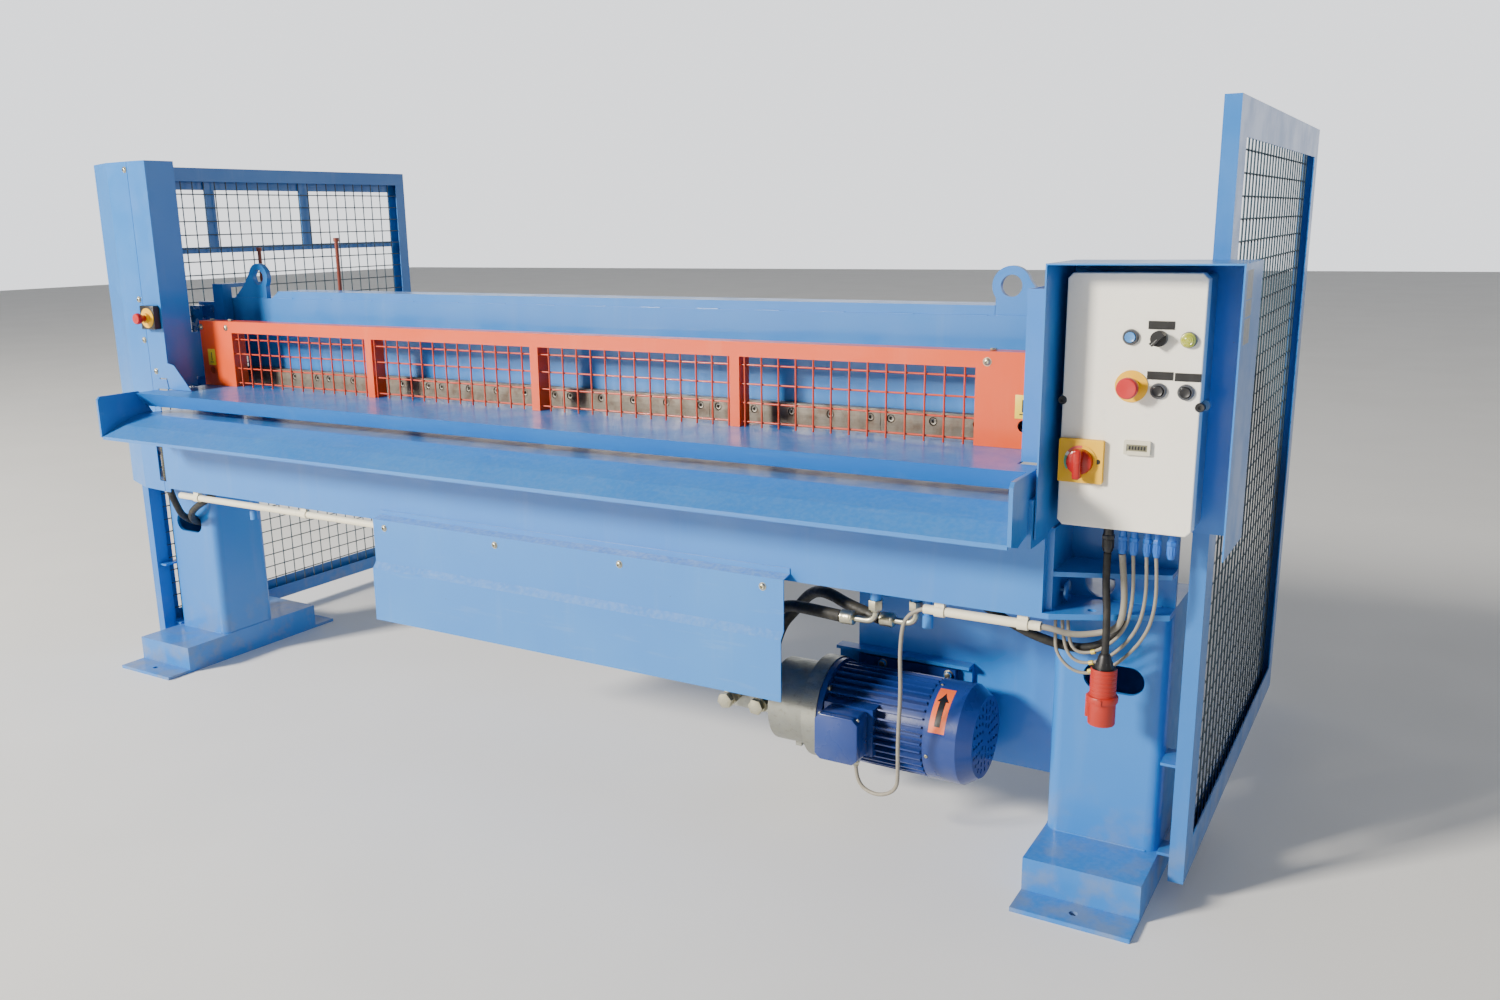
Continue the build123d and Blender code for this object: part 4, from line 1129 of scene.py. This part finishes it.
    def spiral(self, route: Route) -> None:
        """Spiral guard wound on the hose in the slot.

        Args:
            route: Hose that carries it.
        """
        pitch, width, tilt = 8.0, 5.2, Matrix.Rotation(math.radians(12), 3, "X")
        path = [p for p in route.line() if p.z > 600]
        coil = Piece("spiral_guard")
        travelled = pitch
        last = path[0] + Vector((0, 0, 1))
        for i, point in enumerate(path):
            travelled += (point - last).length if i else 0.0
            if travelled >= pitch:
                ring = bmesh.ops.create_circle(coil.mesh, segments=18, radius=10.6)["verts"]
                band = list({e for v in ring for e in v.link_edges})
                out = bmesh.ops.extrude_edge_only(coil.mesh, edges=band)["geom"]
                top = [g for g in out if isinstance(g, bmesh.types.BMVert)]
                bmesh.ops.scale(coil.mesh, vec=(1.05, 1.05, 1), verts=top)
                bmesh.ops.translate(coil.mesh, vec=(0, 0, width), verts=top)
                bmesh.ops.rotate(coil.mesh, cent=(0, 0, 0), matrix=tilt, verts=ring + top)
                coil.aim(ring + top, tuple(point), tuple((point - last).normalized()))
                travelled = 0.0
            last = point
        coil.finish(SPIRAL)


@dataclass
class ControlStation:
    """Rain hood, enclosure and operators."""

    panel_y: float = -270.0
    hood_right: float = 1745.0
    switch_x: float = 1467.0
    switch_z: float = 950.0
    lamp_at: tuple[float, float] = (1647.0, 1186.0)

    def build(self) -> None:
        """Build the control station."""
        dress(BLUE, "machine_blue", "control_hood")
        dress(GREY_BLUE, "grey_box", "enclosure_box")
        dress(CREAM, "cream_plastic", "enclosure_cover")
        dress(YELLOW, "signal_yellow", "estop_rings", "switch_plate")
        dress(COUNTER, "counter_cream", "hour_counter")
        dress(LABEL_BLACK, "label_black", "label_plates")
        self.collars()
        self.buttons()
        self.selector()
        self.lamp()
        self.stops()
        self.switch()
        self.counter()
        self.sticker()
        self.clips()

    def collars(self) -> None:
        """Collars of the round operators, with a soft outer rim."""
        rims = Piece("operator_rims")
        for x, z in ((1545, 1188), (1596, 1187), (1647, 1186), (1600, 1091), (1648, 1091)):
            rims.turned([(10.2, 6), (11.2, 7), (12.6, 7), (14.2, 5.6), (14.8, 3), (14.8, 0)],
                        (x, self.panel_y, z), Way.FRONT, 40)
            rims.turned([(10.2, 6), (10.2, -18), (11, -18), (11, -1)], (x, self.panel_y, z), Way.FRONT, 32)
        rims.finish(BEZEL, replaces=("operator_collars",))

    def buttons(self) -> None:
        """Dished caps of the three push buttons."""
        for name, body, x, z, top, look, slot in (
                ("button_start", "start_button", 1545, 1188, 9, CAP_BLUE, "button_blue"),
                ("button_down", "down_button", 1600, 1091, 10, BLACK, "button_black"),
                ("button_return", "return_button", 1648, 1091, 10, BLACK, "button_black")):
            cap = Piece(name + "_cap")
            cap.turned([(0, top - 1.2), (5, top - 1.0), (7.6, top - 0.3), (8.6, top), (9.5, top - 0.5),
                        (9.8, top - 1.6), (9.8, -13), (0, -13)], (x, self.panel_y, z), Way.FRONT, 40)
            cap.finish(look, body, (name,))

    def selector(self) -> None:
        """Black selector knob with a white pointer line."""
        dress(BLACK, "button_black", "selector_knob")
        line = Piece("selector_line")
        turn = Matrix.Rotation(math.radians(45), 4, "Y")
        line.slab((1590.7, -297.0, 1174.8), (1592.5, -296.9, 1189), turn=turn)
        line.finish(LABEL_WHITE, "selector")

    def lamp(self) -> None:
        """Ribbed lens of the signal lamp."""
        lens = Piece("lamp_lens")
        x, z = self.lamp_at
        lens.turned([(0, 15.2), (3, 15), (4, 14.2), (5, 14.8), (7, 14.2), (8, 13.2), (9, 13.6), (10.6, 12.2),
                     (11.4, 11), (12.4, 10.6), (13.4, 9), (13.6, 7.4), (9.8, 7.4), (9.8, -13), (0, -13)],
                    (x, self.panel_y, z), Way.FRONT, 40)
        lens.finish(LAMP, replaces=("signal_lamp",))

    def stops(self) -> None:
        """Mushroom heads of both emergency stops."""
        for name, body, at, radius in (("estop_head_right", "right_estop", (1551, -270, 1097), 20.0),
                                       ("estop_head_left", "left_estop", (-1383, -263, 1152), 17.0)):
            head = Piece(name + "_cap")
            head.turned([(0, 40.6), (radius * 0.45, 40.9), (radius * 0.72, 41.6), (radius * 0.86, 41.6),
                         (radius - 1, 39.6), (radius, 36.5), (radius, 31), (radius - 0.8, 28.6), (11, 20.5),
                         (9.8, 18), (9.8, -13), (0, -13)], at, Way.FRONT, 48)
            head.finish(RED, body, (name,))

    def sector(self, name: str, look: Print, start: float, sweep: float) -> None:
        """Printed arc on the switch plate.

        Args:
            name: Piece name.
            look: Printed finish.
            start: First angle in degrees, from +X towards +Z.
            sweep: Angle covered in degrees.
        """
        arc = Piece(name)
        arc.turned([(30.8, 0), (25.8, 0)], (self.switch_x, self.panel_y - 14.15, self.switch_z),
                   Way.FRONT, 18, sweep, start)
        arc.finish(look)

    def switch(self) -> None:
        """Rotary handle, its coloured scale and the lock hole."""
        handle = Piece("switch_grip")
        x, y, z = self.switch_x, self.panel_y, self.switch_z
        handle.turned([(0, 27), (20, 27), (23.5, 25.5), (24.8, 22), (25, 14.6), (8.6, 14.4), (8.6, -6),
                       (0, -6)], (x, y, z), Way.FRONT, 48)
        handle.slab((x - 7.6, y - 44, z - 31), (x + 7.6, y - 24, z + 27), 4.5, 4)
        handle.finish(HANDLE_RED, "main_switch", ("switch_handle",), 40)
        self.sector("scale_red", LABEL_RED, 84, 58)
        self.sector("scale_white", LABEL_WHITE, 143, 16)
        self.sector("scale_green", LABEL_GREEN, 160, 54)
        hole = Piece("lock_hole")
        hole.turned([(0, 0.25), (4.6, 0.25), (5, 0)], (x + 33, y - 12, z + 1), Way.FRONT, 24)
        hole.finish(LABEL_BLACK)

    def counter(self) -> None:
        """Window and number wheels of the hour counter."""
        window = Piece("counter_window")
        window.slab((1550.6, -276.6, 976.6), (1587.4, -276.1, 988.4), 0.2)
        window.finish(GLASS_GREY)
        wheels = Piece("counter_wheels")
        for i in range(6):
            x = 1554 + i * 5.4
            wheels.slab((x, -277.1, 979), (x + 3.6, -276.5, 986), 0.5)
        wheels.finish(LABEL_BLACK)

    def sticker(self) -> None:
        """Blank grey stickers on the outer wall of the hood."""
        film = Piece("hood_stickers")
        x = self.hood_right
        for z0, z1 in ((1262, 1312), (1232, 1260), (1184, 1228)):
            film.slab((x - 0.3, -325, z0), (x, -262, z1))
        film.finish(LABEL_GREY)

    def clips(self) -> None:
        """Black clip screws at both sides of the cover."""
        clips = Piece("cover_clips")
        for x in (1424, 1674):
            clips.turned([(0, 5), (3, 5), (3.4, 8), (7.4, 8.2), (8.4, 7), (8.6, 0)], (x, -262, 1064),
                         Way.FRONT, 28)
        clips.finish(BLACK)


@dataclass
class Cabling:
    """Glands, cables, plug and conduits below the enclosure."""

    hang_y: float = -222.0
    box_bottom: float = 823.5
    gland_end: float = 760.6
    plug_x: float = 1520.0
    plug_top: float = 521.0

    def build(self) -> None:
        """Build all cables and what they carry."""
        dress(CONDUIT, "conduit_cream", "conduits")
        self.glands()
        self.plug()
        self.cables()
        self.ties()

    def glands(self) -> None:
        """Blue glands with hexagon nuts and fluted caps, and the black supply gland."""
        for name, look, slot, marks in (
                ("signal_glands", GLAND, "gland_blue", ((1542, 8.5), (1563, 8.5), (1588, 7.5), (1606, 7.5),
                                                        (1633, 8.5))),
                ("supply_gland", BLACK, "black_plastic", ((1514, 12.0),))):
            glands = Piece(name)
            for i, (x, radius) in enumerate(marks):
                y, z = self.hang_y, self.box_bottom
                glands.nut((x, y, z), Way.DOWN, radius * 1.9, 9, 12 * i)
                glands.drum((x, y, z - 9), Way.DOWN, radius * 0.82, 18, segments=28)
                glands.nut((x, y, z - 26), Way.DOWN, radius * 1.85, 9, 25 + 17 * i)
                cap = ((0.92, 0), (0.95, 2), (0.9, 17), (0.82, 23), (0.66, 26.6), (0.5, 26.6))
                glands.turned([(radius * share, height) for share, height in cap], (x, y, z - 35),
                              Way.DOWN, 28)
                for j in range(10):
                    angle = math.radians(36 * j)
                    rib_x, rib_y = x + radius * 0.9 * math.cos(angle), y + radius * 0.9 * math.sin(angle)
                    glands.drum((rib_x, rib_y, z - 37), Way.DOWN, 1.1, 16, segments=6)
            glands.finish(look, replaces=("cable_glands",) if name == "signal_glands" else ())
        blank = Piece("gland_blank")
        blank.drum((1633, self.hang_y, self.box_bottom - 61.4), Way.DOWN, 5.2, 0.6, segments=24)
        blank.finish(GLAND)

    def plug(self) -> None:
        """Industrial plug with grip ribs, flange, sleeve, pins and its cord gland."""
        x, y, top = self.plug_x, self.hang_y, self.plug_top
        body = Piece("plug_shell")
        profile = [(24.5, 0), (26, -2)]
        for i in range(6):
            z = -6 - 9 * i
            profile += [(26, z), (25.1, z - 1), (25.1, z - 3), (26, z - 4)]
        profile += [(26, -57), (30, -58), (31, -60), (31, -69), (30, -71), (27, -72), (27, -117), (26, -119),
                    (23.5, -119), (23.5, -81), (0, -81)]
        body.turned(profile, (x, y, top), Way.UP, 56)
        body.slab((x - 33, y - 4, 412), (x - 25, y + 4, 461), 1.5)
        body.slab((x - 6, y - 33, 449), (x + 6, y - 29, 462), 1.5)
        body.finish(PLUG_RED, replaces=("plug",))
        gland = Piece("plug_gland")
        gland.turned([(7.6, 30), (9, 30.2), (11, 28), (12.6, 24), (14, 18), (18.2, 5), (18.8, 0), (24.4, 0.2),
                      (24.4, -1)], (x, y, top), Way.UP, 40)
        for j in range(12):
            angle = math.radians(30 * j)
            rib_x, rib_y = x + 16 * math.cos(angle), y + 16 * math.sin(angle)
            gland.slab((rib_x - 1, rib_y - 1, top + 1), (rib_x + 1, rib_y + 1, top + 13), 0.4)
        gland.finish(BLACK)
        pins = Piece("plug_pins")
        for j in range(5):
            angle = math.radians(72 * j)
            pins.drum((x + 14 * math.cos(angle), y + 14 * math.sin(angle), 440), Way.DOWN, 2.6, 32,
                      segments=20, bevel=0.8)
        pins.drum((x, y, 440), Way.DOWN, 15, 10, bevel=1)
        pins.finish(BELL)

    def cables(self) -> None:
        """Supply cord, motor lead and the control cables."""
        y, top = self.hang_y, self.gland_end
        plugged = tuple(bpy.data.objects[name] for name in ("plug_shell", "plug_gland", "plug_pins"))
        Route("supply", ((1514, y, top), (1513, y, 700), (1521, y, 630), (1520, y, 541)), 7.5, BLACK_CORD,
              far_end="plug").lay("cable_rubber", 219.9, ("supply_cord",), plugged)
        Route("motor_cable", ((1141, -236, 592), (1098, -237, 579), (1086, -237, 500), (1090, -235, 390),
              (1083, -230, 285), (1080, -220, 205), (1076, -212, 142), (1021, -205, 113), (968, -197, 131),
              (966, -195, 173)), 4.5, GREY_CORD).lay("cable_rubber", 628.8, ("motor_lead",))
        routes = (
            Route("cable_thick", ((1542, y, top), (1549, -221, 704), (1551, -216, 648), (1540, -204, 602),
                  (1500, -200, 584), (1450, -216, 577), (1412, -235, 592), (1385, -235, 592)), 6.5, GREY_CORD,
                  "limp"),
            Route("cable_a", ((1563, y, top), (1567, y, 706), (1565, -217, 652), (1552, -197, 604),
                  (1524, -180, 562), (1486, -175, 532), (1450, -178, 528), (1434, -182, 560),
                  (1433, -184, 613)), 3.5, GREY_CORD, "limp"),
            Route("cable_b", ((1588, y, top), (1592, y, 706), (1588, -216, 652), (1574, -197, 604),
                  (1545, -181, 556), (1502, -175, 514), (1450, -177, 504), (1423, -181, 545),
                  (1421, -184, 613)), 3.5, GREY_CORD, "limp"),
            Route("cable_c", ((1606, y, top), (1611, y, 708), (1608, -216, 654), (1595, -197, 604),
                  (1566, -181, 552), (1516, -175, 498), (1455, -177, 480), (1412, -181, 516),
                  (1408, -184, 566), (1408, -185, 613)), 3.5, GREY_CORD, "limp"))
        for i, (route, length) in enumerate(zip(routes, (325.7, 382.9, 442.7, 505.7)), 1):
            route.lay("cable_rubber", length, (f"cable_{i}",))

    def ties(self) -> None:
        """Yellow marker ties on the hanging loops."""
        ties = Piece("cable_ties")
        for at, way in (((1486, -176.5, 534.5), (-1, 0.05, -0.4)), ((1483, -176.2, 510.5), (-1, 0.05, -0.35)),
                        ((1482, -176.6, 492.5), (-1, 0.02, -0.4))):
            ring = bmesh.ops.create_cone(ties.mesh, cap_ends=False, segments=20, radius1=4.2, radius2=4.2,
                                         depth=9)["verts"]
            ties.aim(ring, at, way)
        bmesh.ops.solidify(ties.mesh, geom=ties.mesh.faces[:], thickness=-0.6)
        ties.finish(TIE)


@dataclass
class Studio:
    """Pale floor, soft lights and the camera."""

    camera_at: Point = (2.06877, -2.62894, 1.41113)
    camera_right: Point = (0.85509771, 0.51814991, -0.0181267)
    camera_up: Point = (-0.10246228, 0.20315839, 0.97377007)
    camera_back: Point = (0.50824147, -0.83081125, 0.2268111)
    lens: float = 29.596
    shift: tuple[float, float] = (0.0271, 0.0053)
    room: float = 0.26
    screen: float = 1.5

    def build(self) -> None:
        """Set the studio up."""
        self.floor()
        self.lights()
        self.camera()

    def floor(self) -> None:
        """Lay a wide pale floor."""
        mesh = bmesh.new()
        bmesh.ops.create_grid(mesh, x_segments=8, y_segments=8, size=30)
        data = bpy.data.meshes.new("floor")
        mesh.to_mesh(data)
        mesh.free()
        data.materials.append(Ground().material())
        ground = bpy.data.objects.new("floor", data)
        bpy.context.scene.collection.objects.link(ground)

    def lamp(self, name: str, at: Point, target: Point, size: float, watts: float, colour: str) -> None:
        """Hang a soft box.

        Args:
            name: Light name.
            at: Where it hangs.
            target: Point it looks at.
            size: Side of the soft box in metres.
            watts: Power.
            colour: Hex colour of its light.
        """
        data = bpy.data.lights.new(name, "AREA")
        data.shape = "SQUARE"
        data.size = size
        data.energy = watts
        data.color = linear(colour)[:3]
        light = bpy.data.objects.new(name, data)
        light.location = at
        light.rotation_euler = (Vector(target) - Vector(at)).to_track_quat("-Z", "Y").to_euler()
        bpy.context.scene.collection.objects.link(light)

    def lights(self) -> None:
        """Key from the upper front left, a weak fill and a pale room."""
        world = bpy.data.worlds.new("pale room")
        bpy.context.scene.world = world
        world.use_nodes = True
        tree = world.node_tree
        place = add_node(tree, "ShaderNodeTexCoord")
        parts = add_node(tree, "ShaderNodeSeparateXYZ", {"Vector": place.outputs["Generated"]})
        rear = add_node(tree, "ShaderNodeMapRange", {"Value": parts.outputs["Y"], "From Min": 0.1,
                        "From Max": 0.45, "To Min": 0.0, "To Max": 1.0}, interpolation_type="SMOOTHSTEP")
        low = add_node(tree, "ShaderNodeMapRange", {"Value": parts.outputs["Z"], "From Min": 0.2,
                       "From Max": 0.5, "To Min": 1.0, "To Max": 0.0}, interpolation_type="SMOOTHSTEP")
        screen = add_node(tree, "ShaderNodeMath", {0: rear.outputs[0], 1: low.outputs[0]},
                          operation="MULTIPLY")
        power = add_node(tree, "ShaderNodeMath", {0: screen.outputs[0], 1: self.screen, 2: self.room},
                         operation="MULTIPLY_ADD")
        back = tree.nodes["Background"]
        back.inputs["Color"].default_value = linear("F6F8FC")
        tree.links.new(power.outputs[0], back.inputs["Strength"])
        self.lamp("key", (-7.1, -10.7, 6.1), (0.2, 0.0, 0.7), 2.2, 4500, "FFF8EC")
        self.lamp("fill", (5.5, -4.5, 2.4), (0.4, 0.0, 0.7), 4.0, 18, "E8F0FF")

    def camera(self) -> None:
        """Put the camera where the machine is seen from its right front."""
        data = bpy.data.cameras.new("camera")
        data.lens = self.lens
        data.sensor_width = 36.0
        data.shift_x, data.shift_y = self.shift
        data.clip_end = 100
        view = bpy.data.objects.new("camera", data)
        turn = Matrix((self.camera_right, self.camera_up, self.camera_back)).transposed()
        view.matrix_world = Matrix.Translation(self.camera_at) @ turn.to_4x4()
        bpy.context.scene.collection.objects.link(view)
        bpy.context.scene.camera = view


def main() -> None:
    """Build the machine and its studio, and report each step."""
    logging.basicConfig(level=logging.INFO, format="%(name)s: %(message)s")
    for part in (Studio(), Stands(), ShearUnit(), Infeed(), BladeGuard(), Fences(), Housings(), PowerPack(),
                 ControlStation(), Cabling()):
        LOG.info("building %s", type(part).__name__)
        part.build()


if __name__ == "__main__":
    main()
